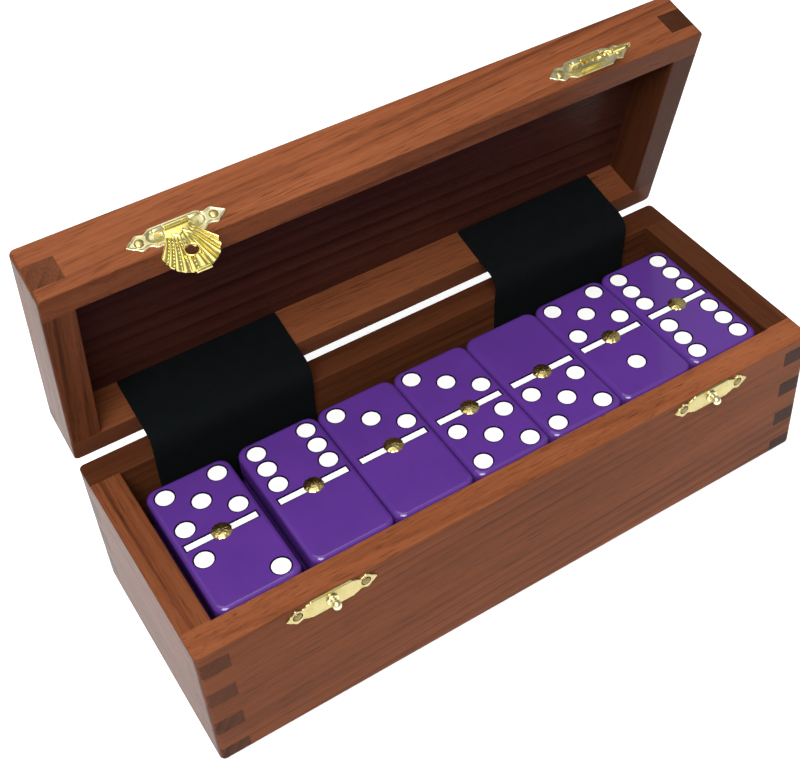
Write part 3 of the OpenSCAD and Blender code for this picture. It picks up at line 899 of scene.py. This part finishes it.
def leaf(name, own):
    """A leaf that hangs under the pin's axis, with the knuckles whose numbers are in own."""
    half = LEAF_LENGTH / 2
    plate = block(name, (-half, -LEAF_WIDTH, -LEAF_TOP - LEAF_THICK), (half, 0, -LEAF_TOP))
    for step in range(KNUCKLES):
        centre = ((step + 0.5) * KNUCKLE_STEP - half, 0, 0)
        if step in own:
            carve(plate, rod("knuckle", KNUCKLE_RADIUS, KNUCKLE_STEP - KNUCKLE_PLAY, centre), "UNION")
        else:
            carve(plate, rod("gap", KNUCKLE_RADIUS + KNUCKLE_PLAY, KNUCKLE_STEP + KNUCKLE_PLAY, centre))
    carve(plate, rod("bore", PIN_BORE, 2 * LEAF_LENGTH, (0, 0, 0)))
    for x in (-SCREW_X, SCREW_X):
        carve(plate, screw_head("countersink", x, HEAD_PLAY))
        carve(plate, rod("hole", SCREW_RADIUS, 4 * MM, (x, -LEAF_WIDTH / 2, 0), "Z"))
    return ease(paint(plate, PALE_BRASS), 0.1 * MM, 2)


def screws(name):
    """Two slotted screws for a leaf, pointing down."""
    made = []
    for x in (-SCREW_X, SCREW_X):
        head, top = screw_head("head", x), Vector((x, -LEAF_WIDTH / 2, -LEAF_TOP))
        half = Vector((SLOT.x / 2, SLOT.y / 2, SLOT.z))
        slot = block("slot", top - half, top + Vector((half.x, half.y, MM)))
        length = SCREW_LENGTH - HEAD_DEPTH
        place = top - Vector((0, 0, HEAD_DEPTH + length / 2))
        made += [cone("shank", 0.15 * MM, SCREW_RADIUS, length, place, 24), carve(head, slot)]
    return smooth(paint(join(name, *made), PALE_BRASS))


base_leaf, lid_leaf = leaf("leaf", (0, 2, 4)), leaf("leaf", (1, 3))
leaf_screws = screws("screws")
print("leaf faces:", len(base_leaf.data.polygons), len(lid_leaf.data.polygons))

# %% [markdown]
# Both leaves of a hinge share the pin's axis, so each is copied to it, and the lid's leaf is turned
# over and opened with the lid. The pins are rods with rounded ends, and two screws hold each leaf.

# %% Hang the two hinges
TURN_OVER = Matrix.Rotation(math.pi, 4, "Y")
hinge_x = [centre_of(f"hinge_{side}_base_leaf").x for side in SIDES]
pins, lower_screws, upper_screws = [], [], []
for side, x in zip(SIDES, hinge_x):
    there = Matrix.Translation((x, hinge.y, hinge.z))
    over = OPEN @ there @ TURN_OVER
    set_down(base_leaf, there, side + "_leaf_on_base", "base", "brass", f"hinge_{side}_base_leaf")
    set_down(lid_leaf, over, side + "_leaf_on_lid", "lid", "brass", f"hinge_{side}_lid_leaf")
    pins.append(round_ends(rod("pin", PIN_RADIUS, LEAF_LENGTH, (x, hinge.y, hinge.z)), 0.15 * MM))
    lower_screws.append(copy_of(leaf_screws, there))
    upper_screws.append(copy_of(leaf_screws, over))
discard(base_leaf, lid_leaf, leaf_screws)
dress(paint(smooth(join("hinge_pin_rods", *pins)), PALE_BRASS), "base", "brass", "hinge_pins")
dress(join("screws_in_base", *lower_screws), "base", "brass", "hinge_base_screws")
dress(join("screws_in_lid", *upper_screws), "lid", "brass", "hinge_lid_screws")
print("hinges at x in mm:", [round(x / MM, 2) for x in hinge_x])

# %% [markdown]
# ## Ornate plates
#
# The hasps and catches are plates with a straight middle, a neck, a round lobe for the nail and a
# pointed tip. A die presses such a plate from sheet. In the same spirit, a fine grid is pulled to
# the outline, pressed to a relief and extruded to a flat back, which keeps the relief and the
# outline in one smooth surface.

# %% Outline and relief
def smooth_step(value, start=0.0, stop=1.0):
    t = min(max((value - start) / (stop - start), 0), 1)
    return t * t * (3 - 2 * t)


NAIL_X = (-9.9 * MM, 9.9 * MM)
HASP_LINE = [(0, 0.5), (0.22, 0.5), (0.30, 0.34), (0.37, 0.41), (0.44, 0.22), (0.5, 0)]
CATCH_LINE = [(0, 0.5), (0.22, 0.5), (0.255, 0.43), (0.32, 0.31), (0.385, 0.41), (0.45, 0.21), (0.5, 0)]


def half_width(line, place):
    """Half the width of a plate, as a share of its width, at a share of its length."""
    place = min(abs(place), 0.5)
    for (x0, w0), (x1, w1) in zip(line, line[1:]):
        if place <= x1:
            t = (place - x0) / (x1 - x0)
            return w0 + (w1 - w0) * (t if x1 == 0.5 else (1 - math.cos(math.pi * t)) / 2)
    return 0


def flat_grid(name, columns, rows):
    """A grid one unit wide that stands upright and faces the front."""
    bpy.ops.mesh.primitive_grid_add(
        x_subdivisions=columns, y_subdivisions=rows, size=1, rotation=(math.pi / 2, 0, 0)
    )
    return settle(name)


def close_back(obj):
    """Gives an open sheet that faces the front a flat back on the plane y = 0."""
    edit(obj, "FACE")
    bpy.ops.mesh.extrude_region_move(TRANSFORM_OT_translate={"value": (0, 1 * MM, 0)})
    bpy.ops.transform.resize(value=(1, 0, 1), center_override=(0, 0, 0))
    face_outward(0.005 * MM)
    return obj


PLATE_THICK = 0.65 * MM
PLATE_SUNK = 0.16 * MM
EDGE_ROUND = 0.28 * MM


def ornate_plate(name, line, length, width, relief):
    """A plate on the plane y = 0, with its middle at the origin."""
    plate = flat_grid(name, 150, 26)
    for vertex in plate.data.vertices:
        along, across = vertex.co.x, 2 * vertex.co.z
        across = math.sin(across * math.pi / 2)
        half = half_width(line, along) * width
        x, z = along * length, across * half
        edge = half * (1 - abs(across))
        sunk = PLATE_SUNK * smooth_step(edge, EDGE_ROUND, 3 * EDGE_ROUND)
        gap = max(EDGE_ROUND - edge, 0)
        rounded = EDGE_ROUND - math.sqrt(EDGE_ROUND**2 - gap**2)
        vertex.co = (x, -(PLATE_THICK - sunk - rounded - relief(x, z)), z)
    return close_back(plate)


print("plate outline:", [round(half_width(HASP_LINE, step / 20), 3) for step in range(11)])

# %% [markdown]
# A hasp plate has two sunk ovals, and in each lies a half round barrel that holds one end of the
# shell's pin. Behind the shell's knuckle the sheet is pressed in deeper still. The barrels are rods
# that are rounded at their outer ends and glued to the plate. The catch plate is plain, with a dark
# well round each nail.

# %% Hasp and catch plates
HASP_SIZE = (26.8 * MM, 6.4 * MM)
CATCH_SIZE = (26.6 * MM, 6.2 * MM)
PIN_OUT = 2.15 * MM
PLATE_DROP = 0.5 * MM
OVAL_X = 5.15 * MM
OVAL_REACH = Vector((2.7, 2.2)) * MM
OVAL_DEPTH = 0.38 * MM
PIERCED = Vector((3.5, 1.2)) * MM
PIERCED_DEPTH = 0.5 * MM
LIFT = 0.1 * MM
BARREL_X = 4.85 * MM
BARREL_LENGTH = 2.7 * MM
BARREL_RADIUS = 0.8 * MM
WELL_RADIUS = 1.45 * MM


def hasp_relief(x, z):
    above = z - PLATE_DROP + LIFT
    oval = math.hypot((abs(x) - OVAL_X) / OVAL_REACH.x, above / OVAL_REACH.y)
    sunk = OVAL_DEPTH * (1 - smooth_step(oval, 0.72, 1.0))
    inside = smooth_step(PIERCED.x - abs(x), 0, 0.3 * MM)
    inside *= smooth_step(PIERCED.y - abs(above), 0, 0.25 * MM)
    return max(sunk, PIERCED_DEPTH * inside)


def barrel(side):
    """A half round housing on the plate for one end of the pin, its axis at the origin."""
    x = side * BARREL_X
    made = rod("barrel", BARREL_RADIUS, BARREL_LENGTH, (x, -PIN_OUT, 0), sides=40)
    outer = x + side * BARREL_LENGTH / 2
    round_edges(made, 0.45 * MM, lambda edge: all(abs(v.co.x - outer) < 1e-6 for v in edge.verts), 5)
    half = BARREL_LENGTH / 2 - 0.3 * MM
    foot = block("foot", (x - half, -PIN_OUT, -0.5 * MM), (x + half, -0.1 * MM, 0.5 * MM))
    return ease(carve(made, foot, "UNION"), 0.08 * MM, 2)


hasp_plate = ornate_plate("hasp_plate", HASP_LINE, *HASP_SIZE, hasp_relief)
move(hasp_plate, Matrix.Translation((0, 0, -PLATE_DROP)))
hasp_plate = smooth(paint(join("hasp_plate", hasp_plate, barrel(-1), barrel(1)), PALE_BRASS))
catch_plate = ornate_plate("catch_plate", CATCH_LINE, *CATCH_SIZE, lambda x, z: 0)
smooth(paint(catch_plate, CATCH_BRASS))
wells = [rod("well", WELL_RADIUS, 1 * MM, (x, -0.8 * MM, 0), "Y") for x in NAIL_X]
carve(catch_plate, paint(join("wells", *wells), TARNISH), materials="TRANSFER")
print("plates:", len(hasp_plate.data.polygons), "and", len(catch_plate.data.polygons), "faces")

# %% [markdown]
# ## Scallop shells
#
# A shell swings down over each catch. It hangs from its pin by a rolled knuckle and fans out into
# flutes that end in a scalloped rim. One grid is stretched from the short line at the hinge to the
# wide rim, so its columns run along the flutes, and pressing a flute is only a matter of which
# column a point is in. The left side has rows of beads in its valleys, and the right side is smooth
# with deeper flutes.

# %% The fan
SHELL_RADIUS = 7.4 * MM
SHELL_DROP = 8.0 * MM
SHELL_THICK = 0.5 * MM
SHEET_OUT = 1.35 * MM
KNUCKLE_LENGTH = 6.4 * MM
KNUCKLE_DROP = 0.4 * MM
SCALLOP = 0.3 * MM
CROWN = 0.5 * MM
TO_ROLL = 0.5 * MM
FLUTE_LEFT, FLUTE_RIGHT = 0.34 * MM, 0.80 * MM
ZIGZAG = 0.16 * MM
VALLEYS = [math.radians(angle) for angle in (-98, -74, -57.5, -41, -24.5, -8, 17, 40, 62, 82, 98)]
SPREAD = VALLEYS[-1]


def flute_at(angle):
    """From 0 in a valley of the fan to 1 on the crest of a flute."""
    for left, right in zip(VALLEYS, VALLEYS[1:]):
        if angle <= right:
            return math.sin(math.pi * max(angle - left, 0) / (right - left))
    return 0


def chevron(x, z):
    """The height of the raised zigzag that is pressed in between the knuckle and the hole."""
    fold = abs((x / MM + 0.6) % 2.8 - 1.4)
    off_line = abs(z / MM + 2.3 + 0.9 * fold)
    inside = smooth_step(2.6 - abs(x / MM), 0, 0.6)
    return ZIGZAG * inside * (1 - smooth_step(off_line, 0.08, 0.35))


def fan_point(across, down):
    """A point of the shell, with the pin's axis at the origin and the shell hanging down."""
    angle = across * SPREAD
    flute = flute_at(angle)
    radius = SHELL_RADIUS - SCALLOP * (1 - flute)
    spread = down**1.35
    x = (1 - spread) * across * KNUCKLE_LENGTH / 2 + spread * radius * math.sin(angle)
    z = (1 - down) * -KNUCKLE_DROP - down * (SHELL_DROP + radius * math.cos(angle))
    deep = FLUTE_LEFT + (FLUTE_RIGHT - FLUTE_LEFT) * smooth_step(across, -0.25, 0.15)
    relief = deep * (flute**0.8 - 0.25) * smooth_step(down, 0.15, 0.55)
    crown = CROWN * (1 - across**2) * smooth_step(down, 0.05, 0.5) * (1.15 - 0.5 * down)
    to_roll = TO_ROLL * (1 - smooth_step(down, 0.0, 0.3))
    return Vector((x, PIN_OUT - SHEET_OUT - crown - relief - to_roll - chevron(x, z), z))


shell = flat_grid("shell", 132, 80)
for vertex in shell.data.vertices:
    vertex.co = fan_point(2 * vertex.co.x, 0.5 - vertex.co.z)
edit(shell, "FACE")
bpy.ops.mesh.extrude_region_move(TRANSFORM_OT_translate={"value": (0, SHELL_THICK, 0)})
face_outward()
print("shell in mm:", [round(size / MM, 2) for size in shell.dimensions])

# %% [markdown]
# The hole that drops over the catch's stud is punched with a rod and gets a rolled ring. The beads
# are small balls, one row to a valley. A rolled knuckle at the top and a rolled lip at the bottom,
# where a finger lifts the shell, finish it.

# %% Hole, beads and rolls
HOLE_DOWN = 9.1 * MM
HOLE_RADIUS = 1.7 * MM
RING_RADIUS = 0.22 * MM
BEAD_RADIUS = 0.30 * MM
BEADS_CLEAR = 2.4 * MM
ROLL_RADIUS, ROLL_BORE = 0.7 * MM, 0.55 * MM
LIP_RADIUS, LIP_LENGTH = 0.62 * MM, 4.1 * MM
LIP = Vector((0, PIN_OUT - 1.85 * MM, -SHELL_DROP - SHELL_RADIUS + 0.15 * MM))
carve(shell, rod("punch", HOLE_RADIUS, 12 * MM, (0, 0, -HOLE_DOWN), "Y", 40))
fan_length = SHELL_DROP + SHELL_RADIUS - KNUCKLE_DROP
ring_y = fan_point(0, (HOLE_DOWN - KNUCKLE_DROP) / fan_length).y
bpy.ops.mesh.primitive_torus_add(
    location=(0, ring_y, -HOLE_DOWN), rotation=(math.pi / 2, 0, 0), major_segments=40,
    minor_segments=10, major_radius=HOLE_RADIUS + 0.15 * MM, minor_radius=RING_RADIUS,
)
shell_parts = [shell, settle("ring")]
for row, valley in enumerate(VALLEYS[5:0:-1]):
    count = 9 - row // 2
    for step in range(count):
        place = fan_point(valley / SPREAD, 0.36 + 0.58 * step / (count - 1))
        if (place - Vector((0, place.y, -HOLE_DOWN))).length > BEADS_CLEAR:
            shell_parts.append(ball("bead", BEAD_RADIUS, place, 10))
knuckle = rod("roll", ROLL_RADIUS, KNUCKLE_LENGTH, (0, 0, 0), sides=36)
shell_parts.append(round_ends(carve(knuckle, rod("bore", ROLL_BORE, 9 * MM, (0, 0, 0))), 0.12 * MM))
shell_parts.append(round_ends(rod("lip", LIP_RADIUS, LIP_LENGTH, LIP, sides=28), 0.15 * MM))
shell = smooth(paint(join("shell", *shell_parts), GILT), 40)
print("shell:", len(shell.data.polygons), "faces")

# %% [markdown]
# The hasps are set on the lid's front board. The right one has swung out from the board, by as much
# as its joint says. Everything is placed on the shut lid and then opened with it.

# %% Set the hasps
HASP_PIN_RADIUS, HASP_PIN_LENGTH = 0.5 * MM, 13.5 * MM
hasp_nail_spots, hasp_rods = [], []
for side in SIDES:
    joint = JOINTS[f"hasp_{side}_hinge"]
    pin = SHUT @ Vector(joint["pos_m"])
    swing = -joint["range_deg"][0]
    on_face = OPEN @ Matrix.Translation((pin.x, lid_low.y, pin.z))
    set_down(hasp_plate, on_face, side + "_hasp_backplate", "lid", "brass", f"hasp_{side}_plate")
    swung = OPEN @ turn_about(pin, -swing) @ Matrix.Translation(pin)
    set_down(shell, swung, side + "_scallop_shell", f"hasp_{side}", "gilt_brass", f"hasp_{side}_shell")
    metal = rod("pin", HASP_PIN_RADIUS, HASP_PIN_LENGTH, pin, sides=24)
    hasp_rods.append(round_ends(metal, 0.12 * MM))
    hasp_nail_spots += [(pin.x + x, lid_low.y, pin.z - PLATE_DROP) for x in NAIL_X]
    print(side, "shell swings out by", swing, "degrees")
hasp_pins = paint(smooth(join("shell_pin_rods", *hasp_rods)), GILT)
dress(move(hasp_pins, OPEN), "lid", "brass", "hasp_pins")

# %% [markdown]
# Small round nails hold the plates. A nail is a thin shank with a domed head that has been tapped
# down, so the dome is slightly flattened. One nail is made and copied.

# %% Nails
NAIL_HEAD = Vector((1.22, 0.45)) * MM
NAIL_RADIUS = 0.45 * MM
NAIL_LENGTH = 5 * MM


def nail():
    """A nail driven along Y, its head resting on the plate that lies on the plane y = 0."""
    head = dome("nail", NAIL_HEAD.x, NAIL_HEAD.y, (0, -1, 0), 28)
    move(head, Matrix.Translation((0, -PLATE_THICK + 0.02 * MM, 0)))
    length = NAIL_LENGTH + PLATE_THICK
    shank = rod("shank", NAIL_RADIUS, length, (0, NAIL_LENGTH - length / 2, 0), "Y", 16)
    return smooth(join("nail", head, shank))


one_nail = nail()


def drive(name, spots, metal, body, node, matrix=Matrix.Identity(4)):
    nails = [copy_of(one_nail, matrix @ Matrix.Translation(spot)) for spot in spots]
    return dress(paint(join(name, *nails), metal), body, "brass", node)


catches = [centre_of(f"catch_{side}_plate") for side in SIDES]
SUNK_NAIL = 0.25 * MM
spots = [(place.x + dx, outer_low.y + SUNK_NAIL, place.z) for place in catches for dx in NAIL_X]
drive("nails_in_lid", hasp_nail_spots, RIVET, "lid", "hasp_nails", OPEN)
drive("nails_in_base", spots, OLD_BRASS, "base", "catch_nails")
print("drove", len(hasp_nail_spots) + len(spots), "nails")

# %% [markdown]
# ## Catches
#
# Each catch has a stud in its middle: a collar that is riveted to the plate, a short neck and a
# ball. The stud is turned, so it is drawn as a half profile and spun round its axis.

# %% Studs
STUD_PROFILE = [
    (0.0, 0.6), (1.7, 0.6), (1.75, 0.85), (1.6, 1.1), (1.4, 1.15), (1.25, 1.05), (1.15, 1.1), (1.08, 1.4),
    (1.05, 1.75), (1.08, 1.9), (1.2, 2.1), (1.32, 2.4), (1.35, 2.75), (1.32, 3.05), (1.2, 3.4),
    (1.0, 3.7), (0.7, 3.95), (0.35, 4.07), (0.0, 4.1),
]


def stud():
    """A turned stud that stands out from the plane y = 0."""
    mesh = bpy.data.meshes.new("stud")
    points = [(radius * MM, -out * MM, 0) for radius, out in STUD_PROFILE]
    mesh.from_pydata(points, [(i, i + 1) for i in range(len(points) - 1)], [])
    made = hold("stud", mesh)
    edit(made, "VERT")
    bpy.ops.mesh.spin(steps=32, angle=math.tau, center=(0, 0, 0), axis=(0, 1, 0))
    face_outward(0.01 * MM)
    return smooth(paint(made, PALE_BRASS), 50)


TENON_RADIUS, TENON_LENGTH = 0.8 * MM, 5.5 * MM
one_stud = stud()
studs = []
for side, place in zip(SIDES, catches):
    there = Matrix.Translation((place.x, outer_low.y, place.z))
    set_down(catch_plate, there, side + "_catch_backplate", "base", "brass", f"catch_{side}_plate")
    inside = Vector((place.x, outer_low.y + 2.25 * MM, place.z))
    studs += [copy_of(one_stud, there), rod("tenon", TENON_RADIUS, TENON_LENGTH, inside, "Y", 24)]
dress(join("turned_studs", *studs), "base", "brass", "catch_studs")
discard(one_nail, one_stud, hasp_plate, catch_plate, shell)
print("catches at x in mm:", [round(place.x / MM, 2) for place in catches])

# %% [markdown]
# ## Felt straps
#
# Two wide straps of dark felt are glued inside both back boards and hang between them in a soft
# loop over the hinge. A strap this short is stiff enough to keep a smooth curve, so a curve is laid
# through a few points from the lid down into the base, and a grid is bent along it, with a slight
# wave across that grows towards the free middle.

# %% The strap's path
PATH = [
    (48.0, 61.25), (42.3, 59.85), (36.8, 58.5), (32.6, 57.6), (29.6, 56.7), (27.9, 55.2),
    (27.3, 53.0), (27.4, 50.0), (27.8, 46.0), (28.1, 42.0), (28.26, 36.0), (28.26, 26.0), (28.26, 16.0),
]


def curve_point(points, place):
    """A smooth curve through the points, place running from 0 to 1."""
    span = place * (len(points) - 1)
    index = min(int(span), len(points) - 2)
    t = span - index
    a, b, c, d = (points[min(max(index + step, 0), len(points) - 1)] for step in (-1, 0, 1, 2))
    return [
        0.5 * (2 * q + (r - p) * t + (2 * p - 5 * q + 4 * r - s) * t**2 + (3 * q - p - 3 * r + s) * t**3)
        for p, q, r, s in zip(a, b, c, d)
    ]


fine = [curve_point(PATH, step / 400) for step in range(401)]
lengths = [0.0]
for (y0, z0), (y1, z1) in zip(fine, fine[1:]):
    lengths.append(lengths[-1] + math.hypot(y1 - y0, z1 - z0))
print("a strap is", round(lengths[-1], 2), "mm long")


def along_path(share):
    """The point at a share of the strap's length, and the way that it faces, in mm."""
    wanted = share * lengths[-1]
    index = min(max(sum(length < wanted for length in lengths), 1), len(fine) - 1)
    (y0, z0), (y1, z1) = fine[index - 1], fine[index]
    size = math.hypot(y1 - y0, z1 - z0)
    t = (wanted - lengths[index - 1]) / size
    return Vector((y0 + (y1 - y0) * t, z0 + (z1 - z0) * t)), Vector((z0 - z1, y1 - y0)) / size


# %% [markdown]
# Felt has no weave, only a matted nap. It shows as a fine speckle, a little lighter where fibres
# stand up. The speckle is solid noise, so it needs no seams or unwrapping.

# %% Felt
def felt():
    material, tree, shader = new_material("dark_felt")
    at = place_of(tree)
    nap = cloud(tree, at, (2600, 2600, 2600), 3, 0.65)
    matted = cloud(tree, at, (280, 280, 280), 3)
    shade = number(tree, "MULTIPLY_ADD", matted, 0.5, number(tree, "MULTIPLY", nap, 0.5))
    colour = ramp(tree, shade, (0.35, (0.0002, 0.0007, 0.0009)), (0.68, (0.0007, 0.0022, 0.0026)))
    fill_in(tree, shader, colour, between(tree, nap, 0.3, 0.7, 0.85, 1.0), 0.15)
    bump(tree, shader, shade, 0.7, 0.25 * MM)
    return material


FELT = felt()
STRAP_WIDTH = 49.5 * MM
STRAP_THICK = 1.0 * MM
STRAP_EDGE = 0.22 * MM
WAVE_MM = 0.22


def strap(side, x, phase):
    sheet = flat_grid(side + "_felt_strap", 60, 72)
    for vertex in sheet.data.vertices:
        across, share = vertex.co.x, 0.5 - vertex.co.z
        place, facing = along_path(share)
        free = smooth_step(share, 0.2, 0.42) * (1 - smooth_step(share, 0.5, 0.85))
        place += facing * WAVE_MM * free * math.sin(7 * across + phase)
        vertex.co = (x + across * STRAP_WIDTH, place.x * MM, place.y * MM)
    modify(sheet, "SOLIDIFY", thickness=STRAP_THICK, offset=0)
    ease(paint(sheet, FELT), STRAP_EDGE, 2, 60)
    edit(sheet, "FACE")
    face_outward()
    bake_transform(sheet)
    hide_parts(f"strap_{side}_base", f"strap_{side}_lid")


for side, phase in zip(SIDES, (0.6, 2.1)):
    strap(side, centre_of(f"strap_{side}_base").x, phase)
print("hung two straps")

# %% [markdown]
# ## Stage, light and camera
#
# The box stands on a wide white floor. A strong soft light comes from the front left and above, a
# broad weaker one from overhead, and one from low behind lifts the back without a reflection. A pale
# wash comes from the sky all round, so that shadows are short and faint, as in a light tent.

# %% Floor and sky
FLOOR_GLOW = 0.35


def white_floor():
    bpy.ops.mesh.primitive_plane_add(size=8, location=(0, 0, -0.2 * MM))
    floor = settle("studio_floor")
    material = matt("white_sweep", (3, 3, 3), (0.92, 0.92, 0.92), (0.94, 0.94, 0.94), 1)
    shader = material.node_tree.nodes["Principled BSDF"]
    shader.inputs["Emission Color"].default_value = (1, 1, 1, 1)
    shader.inputs["Emission Strength"].default_value = FLOOR_GLOW
    paint(floor, material).visible_diffuse = False


white_floor()
sky = bpy.data.worlds.new("sky")
sky.use_nodes = True
tree = sky.node_tree
facing = add_node(tree, "SeparateXYZ", [(0, add_node(tree, "TexCoord", ()).outputs["Generated"])])
glow = between(tree, facing.outputs["Z"], -0.3, 0.5, 0.24, 0.30)
put(tree, tree.nodes["Background"].inputs["Strength"], glow)
tree.nodes["Background"].inputs["Color"].default_value = (1, 1, 1, 1)
bpy.context.scene.world = sky
bpy.context.scene.view_settings.view_transform = "Standard"

# %% [markdown]
# The lamps are wide squares, like windows, so their shadows are soft. Each is aimed at the box.

# %% Soft lights
def soft_light(name, place, size, power):
    lamp = bpy.data.lights.new(name, "AREA")
    lamp.shape, lamp.size, lamp.energy = "SQUARE", size, power
    holder = hold(name, lamp)
    holder.location = place
    aim = Vector((0, 0, 0.05)) - Vector(place)
    holder.rotation_euler = aim.to_track_quat("-Z", "Y").to_euler()
    return holder


soft_light("overhead", (-0.15, 0.3, 1.3), 1.0, 4.4)
soft_light("key", (-0.5, -0.64, 1.16), 0.8, 22.2)
soft_light("back fill", (0.3, 1.3, 0.4), 1.0, 7).visible_glossy = False

# %% [markdown]
# The camera looks down from the front left. Its place and lens were worked out from the box's own
# corners, so that they land where they should in a frame of 800 by 760.

# %% Camera
lens = bpy.data.cameras.new("camera")
camera = hold("camera", lens)
camera.location = (-0.14213, -0.23687, 0.33951)
camera.rotation_euler = [math.radians(angle) for angle in (46.928, 1.718, -33.018)]
lens.sensor_width = 36
lens.lens = 63.19
lens.shift_x, lens.shift_y = -0.0762, -0.0855
lens.clip_start, lens.clip_end = 0.01, 20
bpy.context.scene.camera = camera
print("camera at", [round(v, 3) for v in camera.location])
